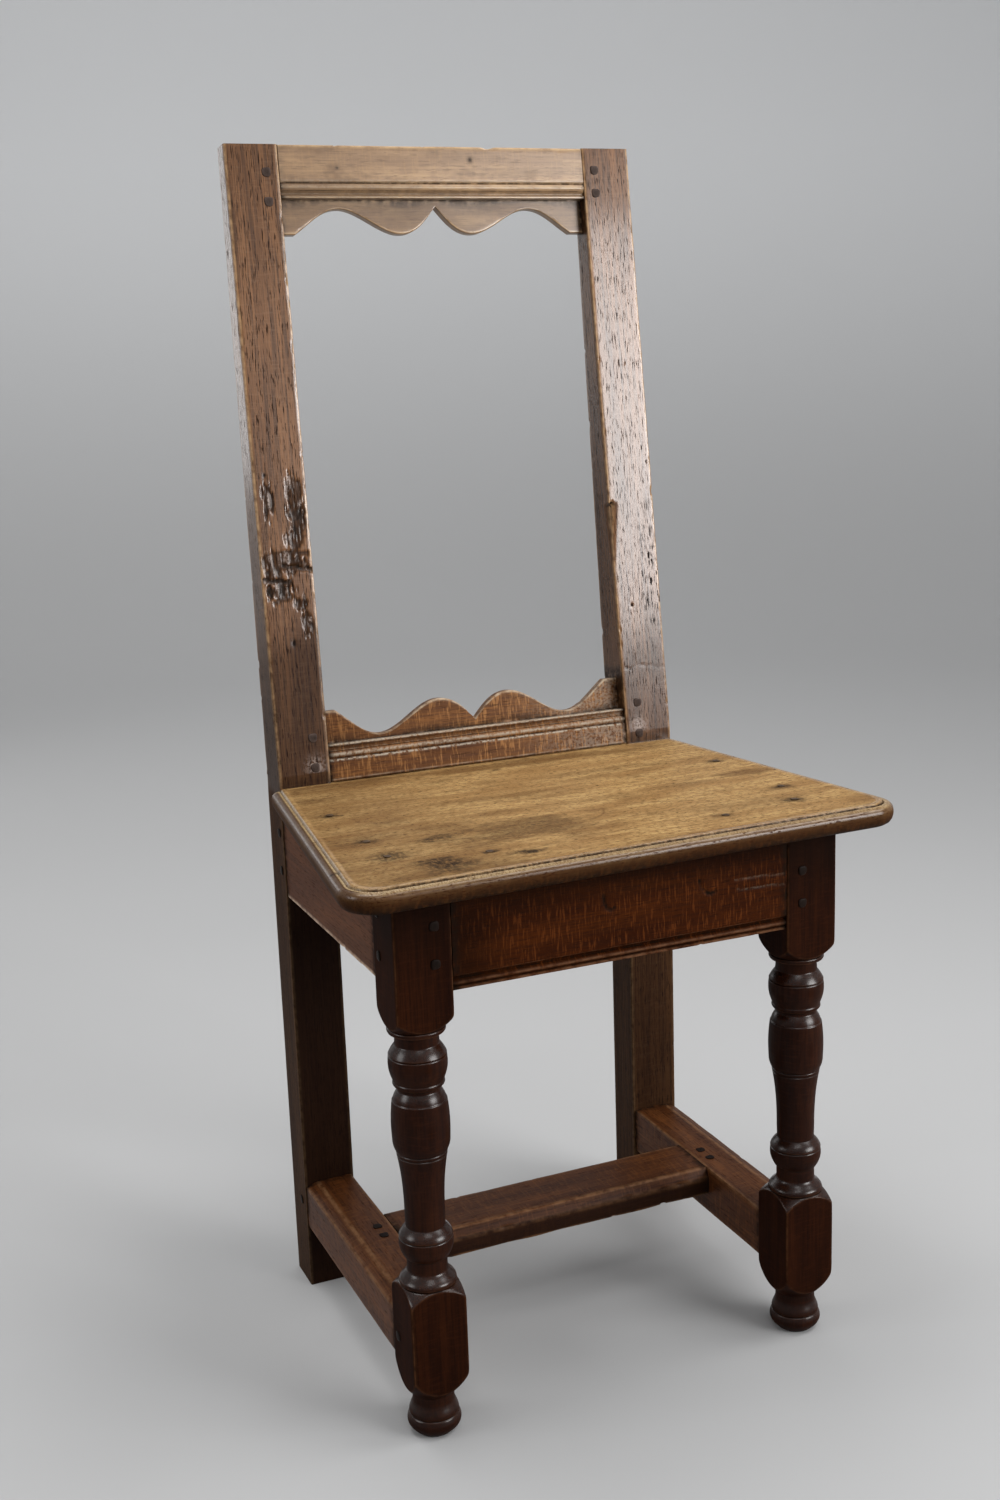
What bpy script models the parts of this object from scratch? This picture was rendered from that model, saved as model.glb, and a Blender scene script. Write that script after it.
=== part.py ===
"""Oak backstool: a joined chair with an open back between two scalloped rails, a board seat with a
thumb-moulded edge, two turned front legs and an H of stretchers, held together by pegged tenons.

Metres, +Z up. The chair faces -Y and its left is on the -X side. The pieces are drawn with y = 0 at
the front faces of the front legs. The empty that carries them puts the origin under the middle.
"""
import math

import bmesh
import bpy
from mathutils import Matrix, Vector

# Overall sizes
HEIGHT = 0.980                  # floor to the top of the back
SEAT_HEIGHT = 0.458             # floor to the top of the seat
FRAME_WIDTH = 0.372             # across the outer faces of the legs and of the posts
FRAME_DEPTH = 0.268             # front face of the legs to the front face of the posts
BACK_TOP_WIDTH = 0.365          # across the outer faces of the posts at their tops
BACK_RAKE = 0.060               # how far the top leans behind the bend in the posts
KNEE_RISE = 0.010               # height of that bend above the seat
GAP = 0.0003                    # clearance between pieces that touch

# Legs and posts
LEG_SIZE = 0.045
POST_WIDTH = 0.045
POST_DEPTH = 0.039
POST_TOP_DEPTH = 0.019

# Seat board
SEAT_THICK = 0.018
SEAT_FRONT_OVERHANG_LEFT = 0.0475
SEAT_FRONT_OVERHANG_RIGHT = 0.030
SEAT_SIDE_OVERHANG_FRONT = 0.0485
SEAT_SIDE_OVERHANG_REAR = 0.008
SEAT_CORNER_RADIUS = 0.028
SEAT_TONGUE_SETBACK = 0.0065    # rear edge between the posts, from their back faces
NOSING_WIDTH = 0.0085           # moulded edge, from its outside to the flat top
QUIRK_DEPTH = 0.0018            # step down from the flat top to the moulded edge
# The rounded nose: share of its width in from the outside, share of its height from the bottom
NOSING_STEPS = ((0.70, 0.0), (0.18, 0.25), (0.0, 0.5), (0.08, 0.75), (0.30, 0.92), (0.62, 0.98),
                (1.0, 1.0))

# Seat rails
RAIL_THICK = 0.022
RAIL_SETBACK = 0.001            # rail faces lie this far inside the faces of legs and posts
FRONT_RAIL_HEIGHT = 0.080
SIDE_RAIL_HEIGHT = 0.076
FRONT_RAIL_MOULDING = 0.012
FRONT_RAIL_COVE = 0.0035
# Its moulding: share of the height from the bottom, share of the cove's depth
FRONT_RAIL_STEPS = ((1.0, 0), (0.94, 1.0), (0.70, 1.0), (0.62, 0.45), (0.45, 0.2), (0.28, 0.45),
                    (0.22, 0.7), (0.0, 0.5))

# Stretchers
STRETCHER_CLEARANCE = 0.057     # floor to the underside
STRETCHER_HEIGHT = 0.042
STRETCHER_THICK = 0.042
STRETCHER_CHAMFER = 0.010
STRETCHER_CHAMFER_DROP = 0.004
MEDIAL_WIDTH = 0.055
MEDIAL_HEIGHT = 0.024
MEDIAL_CHAMFER = 0.005
MEDIAL_CHAMFER_DROP = 0.009

# Back rails
CREST_HEIGHT = 0.0705
CREST_BAND = 0.0305             # plain band above the moulding
CREST_CUSP = 0.0225             # depth of the pointed notch in the middle
CREST_ARCH = 0.0207             # depth of the round arches beside the lobes
LOWER_RAIL_HEIGHT = 0.0600
LOWER_RAIL_BAND = 0.020
LOWER_RAIL_THICK = 0.0205
LOWER_RAIL_SETBACK = 0.0015
LOWER_RAIL_CUSP = 0.0212
LOWER_RAIL_ARCH = 0.0240
MOULDING_HEIGHT = 0.012
MOULDING_QUIRK = 0.0015
BEAD_LIFT = 0.8                 # share of the quirk's depth that the bead fills
COVE_SHARE = 0.45               # share of the recess that the cove takes
CREST_RECESS = 0.0095           # scalloped skirt behind the plain band
LOWER_RAIL_RECESS = 0.011

# Places along half a scalloped edge, as shares of the way from its middle to the post
LOBE_SHARE = 0.237
ARCH_SHARE = 0.626
CORNER_SHARE = 0.914
# How the curves between those places leave and arrive, as shares of the way along and of the depth
CUSP_LEAVING = (0.245, 0.61)
LOBE_PULL = 0.52
ARCH_PULL = 0.33
CORNER_PULL = 0.38
CORNER_LIFT = 0.48

# Turned parts of the legs
FOOT_BASE_RADIUS = 0.014
FOOT_RADIUS = 0.0205
ANKLE_RADIUS = 0.0161
NECK_RADIUS = 0.0160
SHAFT_RADIUS = 0.0151
SHAFT_TOP_RADIUS = 0.0188
VASE_FOOT_RADIUS = 0.0212
VASE_TOP_RADIUS = 0.0207
LOWER_BEAD_RADIUS = 0.0214
UPPER_BEAD_RADIUS = 0.0218
UPPER_BEAD_FOOT_RADIUS = 0.0180
RIM_RADIUS = 0.0222
RIM_FOOT_RADIUS = 0.0206
SHOULDER_RADIUS = 0.0218        # where a block's rounded shoulder meets the turning
FOOT_BULGE = 0.0040             # how far these curves bow out from straight
TAPER_BULGE = 0.0030
SHOULDER_BULGE = 0.0025
VASE_BULGE = 0.0014
UPPER_BEAD_BULGE = 0.0016
# Lengths up the leg, in proportion: foot, flare, ankle and taper below the lower block
FOOT_PARTS = (0.0135, 0.0125, 0.006, 0.025)
# and between the blocks: shoulder, groove, collar, neck, bead, shaft, step, vase, its shoulder, neck,
# bead, its collar, neck, rim and shoulder
TURNING_PARTS = (0.0135, 0.001, 0.0095, 0.007, 0.0245, 0.056, 0.0035, 0.047, 0.007, 0.004, 0.0175, 0.015,
                 0.0115, 0.002, 0.017)
# The shaft's curve: share of its length, share of the way to its top radius
SHAFT_CURVE = ((0.4, 0.06), (0.7, 0.3), (0.88, 0.62), (1.0, 1.0))
CORNER_CLEARANCE = 0.72         # radius that clears a block's corners, as a share of its width
BLOCK_ABOVE_STRETCHER = 0.013   # square block above the side stretcher
BLOCK_BELOW_STRETCHER = 0.001
BLOCK_BELOW_RAIL = 0.013        # square block below the front rail

# Tenons and pegs
TENON_THICK = 0.009
TENON_WALL = 0.003              # wood left between two mortises that meet in a corner
RAIL_TENON_LENGTH = 0.027
RAIL_TENON_TOP = 0.014          # shoulder above a seat rail tenon
RAIL_TENON_BOTTOM = 0.010
STRETCHER_TENON_LENGTH = 0.026
STRETCHER_TENON_SHOULDER = 0.007
MEDIAL_TENON_LENGTH = 0.024
MEDIAL_TENON_SHOULDER = 0.010
CREST_TENON_LENGTH = 0.022
CREST_TENON_THICK = 0.006
CREST_TENON_SHOULDER = 0.009
LOWER_TENON_LENGTH = 0.026
LOWER_TENON_THICK = 0.007
LOWER_TENON_SHOULDER = 0.003
LOWER_TENON_HEIGHT = 0.043
PEG_RADIUS = 0.0043
PEG_HEAD_SHARE = 0.80           # radius of the worn head and of the tip, as shares of the peg's radius
PEG_TIP_SHARE = 0.85
PEG_EDGE_SHARE = 0.3            # height of the head's edge, as a share of how far the peg stands proud
PEG_PROUD = 0.0010
PEG_BEYOND = 0.0025             # peg length past the far side of its tenon
SEAT_PEG_RADIUS = 0.0032
SEAT_PEG_BITE = 0.009           # depth of a seat peg in the wood below the board
SEAT_PEG_INSET = 0.0105         # side pegs, from the outer face of the frame
SEAT_PEG_FRONT = 0.009          # front pegs, from the front face of the legs

# Peg places, as measured from a shared edge of the joint
CREST_PEG_DROPS = {-1: (0.0222, 0.0456), 1: (0.0185, 0.0380)}
LOWER_PEG_RISES = {-1: (0.0145, 0.0400), 1: (0.0085, 0.0365)}
FRONT_PEG_DROPS = {-1: (0.0282, 0.0570), 1: (0.0335, 0.0600)}
SIDE_PEG_DROPS = (0.022, 0.055)
REAR_PEG_DROPS = (0.030, 0.056)
MEDIAL_PEG_SPREAD = 0.0165
SIDE_SEAT_PEGS = {-1: (0.079, 0.166), 1: (0.064, 0.168)}
LEG_SEAT_PEGS = {-1: (0.011, 0.034), 1: (0.024, 0.023)}
FRONT_SEAT_PEGS = (-0.1055, 0.091)

# Colour and roughness of each tone of the oak
TONES = {
    "back": ((0.170, 0.080, 0.036), 0.42),
    "seat": ((0.270, 0.140, 0.052), 0.34),
    "frame": ((0.060, 0.020, 0.009), 0.38),
    "peg": ((0.050, 0.026, 0.015), 0.60),
}

SIDES = {"left": -1, "right": 1}
ROOT = 0.008                    # how far a tenon starts inside its own rail
MOUTH = 0.005                   # how far a cutter starts outside the face it cuts
LEG_SIDES = 24
PEG_SIDES = 8
SMOOTH_ANGLE = math.radians(35) # faces that meet more sharply than this keep a crisp edge

# Sizes that follow from those above
OUTER = FRAME_WIDTH / 2
SEAT_UNDER = SEAT_HEIGHT - SEAT_THICK
RAIL_TOP = SEAT_UNDER - GAP
KNEE = SEAT_HEIGHT + KNEE_RISE
LEAN = math.atan2(BACK_RAKE, HEIGHT - KNEE)
BACK_LENGTH = math.hypot(BACK_RAKE, HEIGHT - KNEE)
POST_BACK = FRAME_DEPTH + POST_DEPTH
STRETCHER_TOP = STRETCHER_CLEARANCE + STRETCHER_HEIGHT
TENON_INSET = RAIL_SETBACK + (RAIL_THICK - TENON_THICK) / 2
MEDIAL_MIDDLE = (LEG_SIZE + FRAME_DEPTH) / 2

# The plane of the back: x across, y into the wood, z up along the leaning front faces of the posts
BACK = Matrix.Translation((0, FRAME_DEPTH, KNEE)) @ Matrix.Rotation(-LEAN, 4, "X")

for leftover in list(bpy.data.objects):
    bpy.data.objects.remove(leftover, do_unlink=True)

chair = bpy.data.objects.new("chair", None)
bpy.context.collection.objects.link(chair)

additions = {}
mortises = {}
drillings = {}


# Shapes
def loft(rings):
    """A closed body through rings of equally many points, capped at both ends."""
    shape = bmesh.new()
    loops = [[shape.verts.new(point) for point in ring] for ring in rings]
    for low, high in zip(loops, loops[1:]):
        for i in range(len(low)):
            j = (i + 1) % len(low)
            shape.faces.new((low[i], low[j], high[j], high[i]))
    shape.faces.new(list(reversed(loops[0])))
    shape.faces.new(loops[-1])
    bmesh.ops.recalc_face_normals(shape, faces=shape.faces)
    return shape


def bar(section, start, end, axis):
    """A straight bar: a section of two-coordinate points drawn out along x (0) or y (1)."""
    if axis == 0:
        return loft([[(at, a, b) for a, b in section] for at in (start, end)])
    return loft([[(a, at, b) for a, b in section] for at in (start, end)])


def circle(radius, sides, height):
    """A ring of points round the z axis, with a flat side towards each axis."""
    turns = [2 * math.pi * (i + 0.5) / sides for i in range(sides)]
    return [Vector((radius * math.cos(a), radius * math.sin(a), height)) for a in turns]


def box(low, high, place=None):
    """A box between two corners, moved by a matrix where one is given."""
    low, high = Vector(low), Vector(high)
    corners = [(low.x, low.y), (high.x, low.y), (high.x, high.y), (low.x, high.y)]
    shape = loft([[(x, y, z) for x, y in corners] for z in (low.z, high.z)])
    if place:
        shape.transform(place)
    return shape


def bezier(a, b, c, d, steps=4):
    """The points of a cubic curve after its first one."""
    points = []
    for i in range(1, steps + 1):
        t = i / steps
        u = 1 - t
        weights = (u ** 3, 3 * u * u * t, 3 * u * t * t, t ** 3)
        points.append(tuple(sum(w * p[k] for w, p in zip(weights, (a, b, c, d))) for k in (0, 1)))
    return points


# Objects
def to_object(name, shapes):
    """One mesh object, carried by the chair's empty, from one or more separate shapes."""
    mesh = bpy.data.meshes.new(name)
    joined = bmesh.new()
    for shape in shapes:
        part = bpy.data.meshes.new("piece")
        shape.to_mesh(part)
        shape.free()
        joined.from_mesh(part)
        bpy.data.meshes.remove(part)
    joined.to_mesh(mesh)
    joined.free()
    item = bpy.data.objects.new(name, mesh)
    bpy.context.collection.objects.link(item)
    item.parent = chair
    return item


def finish(item, tone):
    """Give a piece its own oak material."""
    colour, roughness = TONES[tone]
    oak = bpy.data.materials.new(f"oak_{item.name}")
    oak.use_nodes = True
    shader = oak.node_tree.nodes["Principled BSDF"]
    shader.inputs["Base Color"].default_value = (*colour, 1)
    shader.inputs["Roughness"].default_value = roughness
    shader.inputs["Metallic"].default_value = 0.0
    item.data.materials.append(oak)


def smooth(item):
    item.data.shade_smooth()
    item.data.set_sharp_from_angle(angle=SMOOTH_ANGLE)


def combine(item, label, operation, shapes):
    """Join shapes to a piece, or cut them from it, with one modifier."""
    if not shapes:
        return
    tool = to_object(f"{item.name}_{label}", shapes)
    tool.hide_render = True
    tool.display_type = "WIRE"
    modifier = item.modifiers.new(label, "BOOLEAN")
    modifier.operation = operation
    modifier.solver = "EXACT"
    modifier.object = tool


def piece(name, shape, tone):
    item = to_object(name, [shape])
    finish(item, tone)
    additions[name] = []
    mortises[name] = []
    drillings[name] = []
    return item


# Joints
def tenon(rail, post, axis, shoulder, tip, low, high, place=None):
    """A tenon of a rail along x (0) or y (1), and the mortise in the post that takes it.

    The corners low and high give its extent along the two other axes, in order.
    """
    way = math.copysign(1, tip - shoulder)

    def between(start, end, grow):
        first = [low[0] - grow, low[1] - grow]
        last = [high[0] + grow, high[1] + grow]
        first.insert(axis, min(start, end))
        last.insert(axis, max(start, end))
        return box(first, last, place)

    additions[rail].append(between(shoulder - way * ROOT, tip, 0))
    mortises[post].append(between(shoulder - way * MOUTH, tip + way * GAP, GAP))


def peg(name, members, head, way, length, radius=PEG_RADIUS, proud=PEG_PROUD, place=None):
    """A riven peg driven in at a point of a face, and its hole in each member that it passes."""
    aim = Matrix.Translation(head) @ Vector(way).to_track_quat("Z", "X").to_matrix().to_4x4()
    if place:
        aim = place @ aim
    stations = ((-proud, PEG_HEAD_SHARE), (-proud * PEG_EDGE_SHARE, 1.0), (length, PEG_TIP_SHARE))
    shank = loft([circle(radius * share, PEG_SIDES, at) for at, share in stations])
    shank.transform(aim)
    item = to_object(name, [shank])
    finish(item, "peg")
    smooth(item)
    for member in members:
        hole = loft([circle(radius + GAP, PEG_SIDES, at) for at in (-MOUTH, length + GAP)])
        hole.transform(aim)
        drillings[member].append(hole)


# Rear posts
def half_between_posts(rise):
    """Half the clear width between the posts, at a distance up the back from the bend."""
    narrowing = (FRAME_WIDTH - BACK_TOP_WIDTH) / 2
    return OUTER - POST_WIDTH - narrowing * max(rise, 0) / BACK_LENGTH


def make_post(name, side):
    outer_top = BACK_TOP_WIDTH / 2
    across = (side * (OUTER - POST_WIDTH), side * OUTER)
    across_top = (side * (outer_top - POST_WIDTH), side * outer_top)
    through = (FRAME_DEPTH, POST_BACK)

    def ring(xs, ys, z):
        corners = ((xs[0], ys[0]), (xs[1], ys[0]), (xs[1], ys[1]), (xs[0], ys[1]))
        return [Vector((x, y, z)) for x, y in corners]

    top = [BACK @ corner for corner in ring(across_top, (0, POST_TOP_DEPTH), BACK_LENGTH)]
    piece(name, loft([ring(across, through, 0), ring(across, through, KNEE), top]), "back")


for word, side in SIDES.items():
    make_post(f"rear_post_{word}", side)


# Front legs
def swell(start, end, bulge=0.0, steps=3):
    """Points from one (height, radius) to the next, bowed out by a bulge."""
    points = []
    for i in range(1, steps + 1):
        t = i / steps
        height = start[0] + (end[0] - start[0]) * t
        radius = start[1] + (end[1] - start[1]) * t + bulge * math.sin(math.pi * t)
        points.append((height, radius))
    return points


def ogee(start, end, steps=3):
    """Points that leave one (height, radius) upright and arrive upright at the next."""
    points = []
    for i in range(1, steps + 1):
        t = i / steps
        share = (1 - math.cos(math.pi * t)) / 2
        points.append((start[0] + (end[0] - start[0]) * t, start[1] + (end[1] - start[1]) * share))
    return points


def spread(bottom, top, parts):
    """Heights that divide the way from bottom to top in the proportion of the parts."""
    total = sum(parts)
    heights = [bottom]
    for part in parts:
        heights.append(heights[-1] + (top - bottom) * part / total)
    return heights


def leg_profile():
    """Height and radius up the leg. In the square blocks the radius passes the corners."""
    square = LEG_SIZE * CORNER_CLEARANCE
    h = spread(0, STRETCHER_CLEARANCE - BLOCK_BELOW_STRETCHER, FOOT_PARTS)
    points = [(0, FOOT_BASE_RADIUS)]
    points += swell(points[-1], (h[1], FOOT_RADIUS), FOOT_BULGE)
    points += ogee(points[-1], (h[2], ANKLE_RADIUS))
    points += [(h[3], ANKLE_RADIUS)]
    points += swell(points[-1], (h[4], square), TAPER_BULGE)

    lower = STRETCHER_TOP + BLOCK_ABOVE_STRETCHER
    upper = RAIL_TOP - FRONT_RAIL_HEIGHT - BLOCK_BELOW_RAIL
    z = spread(lower, upper, TURNING_PARTS)
    points += [(z[0], square)]
    points += swell(points[-1], (z[1], SHOULDER_RADIUS), SHOULDER_BULGE)
    points += [(z[2], RIM_RADIUS)]
    points += ogee(points[-1], (z[3], NECK_RADIUS))
    points += [(z[4], NECK_RADIUS)]
    points += swell(points[-1], (z[5], NECK_RADIUS), LOWER_BEAD_RADIUS - NECK_RADIUS, 5)
    points += [(z[5] + GAP, SHAFT_RADIUS)]
    for along, widening in SHAFT_CURVE:
        radius = SHAFT_RADIUS + (SHAFT_TOP_RADIUS - SHAFT_RADIUS) * widening
        points.append((z[5] + (z[6] - z[5]) * along, radius))
    points += [(z[7], VASE_FOOT_RADIUS)]
    points += swell(points[-1], (z[8], VASE_TOP_RADIUS), VASE_BULGE)
    points += ogee(points[-1], (z[9], NECK_RADIUS))
    points += [(z[10], NECK_RADIUS)]
    points += swell((z[10], UPPER_BEAD_FOOT_RADIUS), (z[11], UPPER_BEAD_RADIUS), UPPER_BEAD_BULGE)
    points += ogee(points[-1], (z[12], NECK_RADIUS))
    points += [(z[13], NECK_RADIUS), (z[13] + GAP, RIM_FOOT_RADIUS), (z[14], RIM_RADIUS)]
    points += swell(points[-1], (z[15], square), SHOULDER_BULGE)
    points += [(RAIL_TOP, square)]
    return points


def make_leg(name, side):
    centre = Matrix.Translation((side * (OUTER - LEG_SIZE / 2), LEG_SIZE / 2, 0))
    turned = loft([circle(radius, LEG_SIDES, height) for height, radius in leg_profile()])
    turned.transform(centre)
    item = piece(name, turned, "frame")
    smooth(item)
    inner = OUTER - LEG_SIZE
    xs = sorted((side * inner, side * OUTER))
    stock = box((xs[0], 0, -MOUTH), (xs[1], LEG_SIZE, RAIL_TOP + MOUTH))
    combine(item, "stock", "INTERSECT", [stock])


for word, side in SIDES.items():
    make_leg(f"front_leg_{word}", side)


# Seat rails
def front_rail_section():
    """The front rail's section, y and z: plain face, then a cove, a bead and a lip below."""
    face = RAIL_SETBACK
    back = face + RAIL_THICK
    bottom = RAIL_TOP - FRONT_RAIL_HEIGHT
    deep = face + FRONT_RAIL_COVE
    front = []
    for up, share in FRONT_RAIL_STEPS:
        front.append((face + (deep - face) * share, bottom + FRONT_RAIL_MOULDING * up))
    return [(back, bottom), (back, RAIL_TOP), (face, RAIL_TOP)] + front


def plain_section(near, far, height):
    bottom = RAIL_TOP - height
    return [(near, bottom), (far, bottom), (far, RAIL_TOP), (near, RAIL_TOP)]


rail_end = OUTER - LEG_SIZE - GAP
piece("front_seat_rail", bar(front_rail_section(), -rail_end, rail_end, 0), "frame")
rear_end = OUTER - POST_WIDTH - GAP
rear_far = POST_BACK - RAIL_SETBACK
rear_section = plain_section(rear_far - RAIL_THICK, rear_far, SIDE_RAIL_HEIGHT)
piece("rear_seat_rail", bar(rear_section, -rear_end, rear_end, 0), "frame")

rail_top_tenon = RAIL_TOP - RAIL_TENON_TOP
front_low = RAIL_TOP - FRONT_RAIL_HEIGHT + RAIL_TENON_BOTTOM
side_low = RAIL_TOP - SIDE_RAIL_HEIGHT + RAIL_TENON_BOTTOM
corner_reach = TENON_INSET + TENON_THICK + TENON_WALL

for word, side in SIDES.items():
    leg, post, rail = f"front_leg_{word}", f"rear_post_{word}", f"side_seat_rail_{word}"
    near = side * (OUTER - RAIL_SETBACK)
    section = plain_section(near, near - side * RAIL_THICK, SIDE_RAIL_HEIGHT)
    piece(rail, bar(section, LEG_SIZE + GAP, FRAME_DEPTH - GAP, 1), "frame")

    tip = side * (OUTER - LEG_SIZE + RAIL_TENON_LENGTH)
    tenon("front_seat_rail", leg, 0, side * rail_end, tip, (TENON_INSET, front_low),
          (TENON_INSET + TENON_THICK, rail_top_tenon))
    tip = side * (OUTER - POST_WIDTH + RAIL_TENON_LENGTH)
    cheek = POST_BACK - TENON_INSET
    tenon("rear_seat_rail", post, 0, side * rear_end, tip, (cheek - TENON_THICK, side_low),
          (cheek, rail_top_tenon))
    xs = sorted((side * (OUTER - TENON_INSET), side * (OUTER - TENON_INSET - TENON_THICK)))
    tenon(rail, leg, 1, LEG_SIZE + GAP, corner_reach, (xs[0], side_low), (xs[1], rail_top_tenon))
    post_tip = POST_BACK - corner_reach
    tenon(rail, post, 1, FRAME_DEPTH - GAP, post_tip, (xs[0], side_low), (xs[1], rail_top_tenon))

    length = TENON_INSET + TENON_THICK + PEG_BEYOND
    peg_x = side * (OUTER - LEG_SIZE + RAIL_TENON_LENGTH / 2)
    for number, drop in enumerate(FRONT_PEG_DROPS[side], 1):
        head = (peg_x, 0, SEAT_UNDER - drop)
        peg(f"front_rail_peg_{word}_{number}", ("front_seat_rail", leg), head, (0, 1, 0), length)
    peg_x = side * (OUTER - POST_WIDTH + RAIL_TENON_LENGTH / 2)
    for number, drop in enumerate(REAR_PEG_DROPS, 1):
        head = (peg_x, POST_BACK, SEAT_UNDER - drop)
        peg(f"rear_rail_peg_{word}_{number}", ("rear_seat_rail", post), head, (0, -1, 0), length)
    ends = {"front": (leg, (LEG_SIZE + corner_reach) / 2), "rear": (post, (FRAME_DEPTH + post_tip) / 2)}
    for end, (upright, peg_y) in ends.items():
        for number, drop in enumerate(SIDE_PEG_DROPS, 1):
            head = (side * OUTER, peg_y, SEAT_UNDER - drop)
            peg(f"side_rail_peg_{word}_{end}_{number}", (rail, upright), head, (-side, 0, 0), length)

# Stretchers
medial_end = OUTER - RAIL_SETBACK - STRETCHER_THICK - GAP
medial_front = MEDIAL_MIDDLE - MEDIAL_WIDTH / 2
medial_back = MEDIAL_MIDDLE + MEDIAL_WIDTH / 2
medial_under = STRETCHER_TOP - MEDIAL_HEIGHT
medial_section = [(medial_front, medial_under), (medial_back, medial_under), (medial_back, STRETCHER_TOP),
                  (medial_front + MEDIAL_CHAMFER, STRETCHER_TOP),
                  (medial_front, STRETCHER_TOP - MEDIAL_CHAMFER_DROP)]
piece("medial_stretcher", bar(medial_section, -medial_end, medial_end, 0), "frame")

for word, side in SIDES.items():
    leg, post, rail = f"front_leg_{word}", f"rear_post_{word}", f"side_stretcher_{word}"
    near = side * (OUTER - RAIL_SETBACK)
    far = near - side * STRETCHER_THICK
    section = [(far, STRETCHER_CLEARANCE), (near, STRETCHER_CLEARANCE),
               (near, STRETCHER_TOP - STRETCHER_CHAMFER_DROP),
               (near - side * STRETCHER_CHAMFER, STRETCHER_TOP), (far, STRETCHER_TOP)]
    piece(rail, bar(section, LEG_SIZE + GAP, FRAME_DEPTH - GAP, 1), "frame")

    middle = near - side * STRETCHER_THICK / 2
    low = (middle - TENON_THICK / 2, STRETCHER_CLEARANCE + STRETCHER_TENON_SHOULDER)
    high = (middle + TENON_THICK / 2, STRETCHER_TOP - STRETCHER_TENON_SHOULDER)
    leg_tip = LEG_SIZE - STRETCHER_TENON_LENGTH
    post_tip = FRAME_DEPTH + STRETCHER_TENON_LENGTH
    tenon(rail, leg, 1, LEG_SIZE + GAP, leg_tip, low, high)
    tenon(rail, post, 1, FRAME_DEPTH - GAP, post_tip, low, high)
    peg_z = (STRETCHER_CLEARANCE + STRETCHER_TOP) / 2
    length = RAIL_SETBACK + (STRETCHER_THICK + TENON_THICK) / 2 + PEG_BEYOND
    ends = {"front": (leg, (LEG_SIZE + leg_tip) / 2), "rear": (post, (FRAME_DEPTH + post_tip) / 2)}
    for end, (upright, peg_y) in ends.items():
        head = (side * OUTER, peg_y, peg_z)
        peg(f"stretcher_peg_{word}_{end}", (rail, upright), head, (-side, 0, 0), length)

    tongue_mid = (medial_under + STRETCHER_TOP) / 2
    low = (medial_front + MEDIAL_TENON_SHOULDER, tongue_mid - TENON_THICK / 2)
    high = (medial_back - MEDIAL_TENON_SHOULDER, tongue_mid + TENON_THICK / 2)
    tip = side * (medial_end + GAP + MEDIAL_TENON_LENGTH)
    tenon("medial_stretcher", rail, 0, side * medial_end, tip, low, high)
    peg_x = side * (medial_end + GAP + MEDIAL_TENON_LENGTH / 2)
    length = STRETCHER_TOP - tongue_mid + TENON_THICK / 2 + PEG_BEYOND
    for number, offset in enumerate((-MEDIAL_PEG_SPREAD / 2, MEDIAL_PEG_SPREAD / 2), 1):
        head = (peg_x, MEDIAL_MIDDLE + offset, STRETCHER_TOP)
        peg(f"medial_peg_{word}_{number}", ("medial_stretcher", rail), head, (0, 0, -1), length,
            PEG_RADIUS, GAP)


# Scalloped rails of the back
def scallop(cusp, arch):
    """Half a scalloped edge from its middle to the post: share of the way, and depth of the cut."""
    points = [(0, cusp)]
    leaving = (LOBE_SHARE * CUSP_LEAVING[0], cusp * CUSP_LEAVING[1])
    points += bezier(points[-1], leaving, (LOBE_SHARE * LOBE_PULL, 0), (LOBE_SHARE, 0))
    reach = (ARCH_SHARE - LOBE_SHARE) * ARCH_PULL
    points += bezier(points[-1], (LOBE_SHARE + reach, 0), (ARCH_SHARE - reach, arch), (ARCH_SHARE, arch))
    reach = (CORNER_SHARE - ARCH_SHARE) * CORNER_PULL
    arriving = (CORNER_SHARE - reach, arch * CORNER_LIFT)
    points += bezier(points[-1], (ARCH_SHARE + reach, arch), arriving, (CORNER_SHARE, 0))
    return points + [(1, 0)]


def moulding(band, recess):
    """Depth behind the plain band and distance from its edge: a quirk, a bead, a cove and a step."""
    half = MOULDING_HEIGHT / 2
    points = [(0, band), (MOULDING_QUIRK, band)]
    for t in (0.25, 0.5, 0.75):
        points.append((MOULDING_QUIRK * (1 - BEAD_LIFT * math.sin(math.pi * t)), band + half * t))
    points.append((MOULDING_QUIRK, band + half))
    hollow = recess * COVE_SHARE - MOULDING_QUIRK
    for t in (0.5, 1.0):
        turn = math.pi / 2 * t
        depth = MOULDING_QUIRK + hollow * (1 - math.cos(turn))
        points.append((depth, band + half + half * math.sin(turn)))
    points.append((recess, band + MOULDING_HEIGHT))
    return points


def scalloped_rail(name, edge, way, slope, setback, thick, height, band, recess, curve):
    """A moulded rail in the plane of the back.

    It starts at its plain edge and runs up (1) or down (-1) to its scalloped one. The slope cuts the
    plain edge level with the seat.
    """
    face = [(setback, 0)] + [(setback + depth, out) for depth, out in moulding(band, recess)]
    back = setback + thick
    stations = [(-share, cut) for share, cut in reversed(curve)] + curve[1:]
    rings = []
    for share, cut in stations:
        section = face + [(setback + recess, height - cut), (back, height - cut), (back, 0)]
        ring = []
        for depth, out in section:
            rise = edge + way * out + (slope * depth if out == 0 else 0)
            ring.append(BACK @ Vector((share * (half_between_posts(rise) - GAP), depth, rise)))
        rings.append(ring)
    piece(name, loft(rings), "back")


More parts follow.
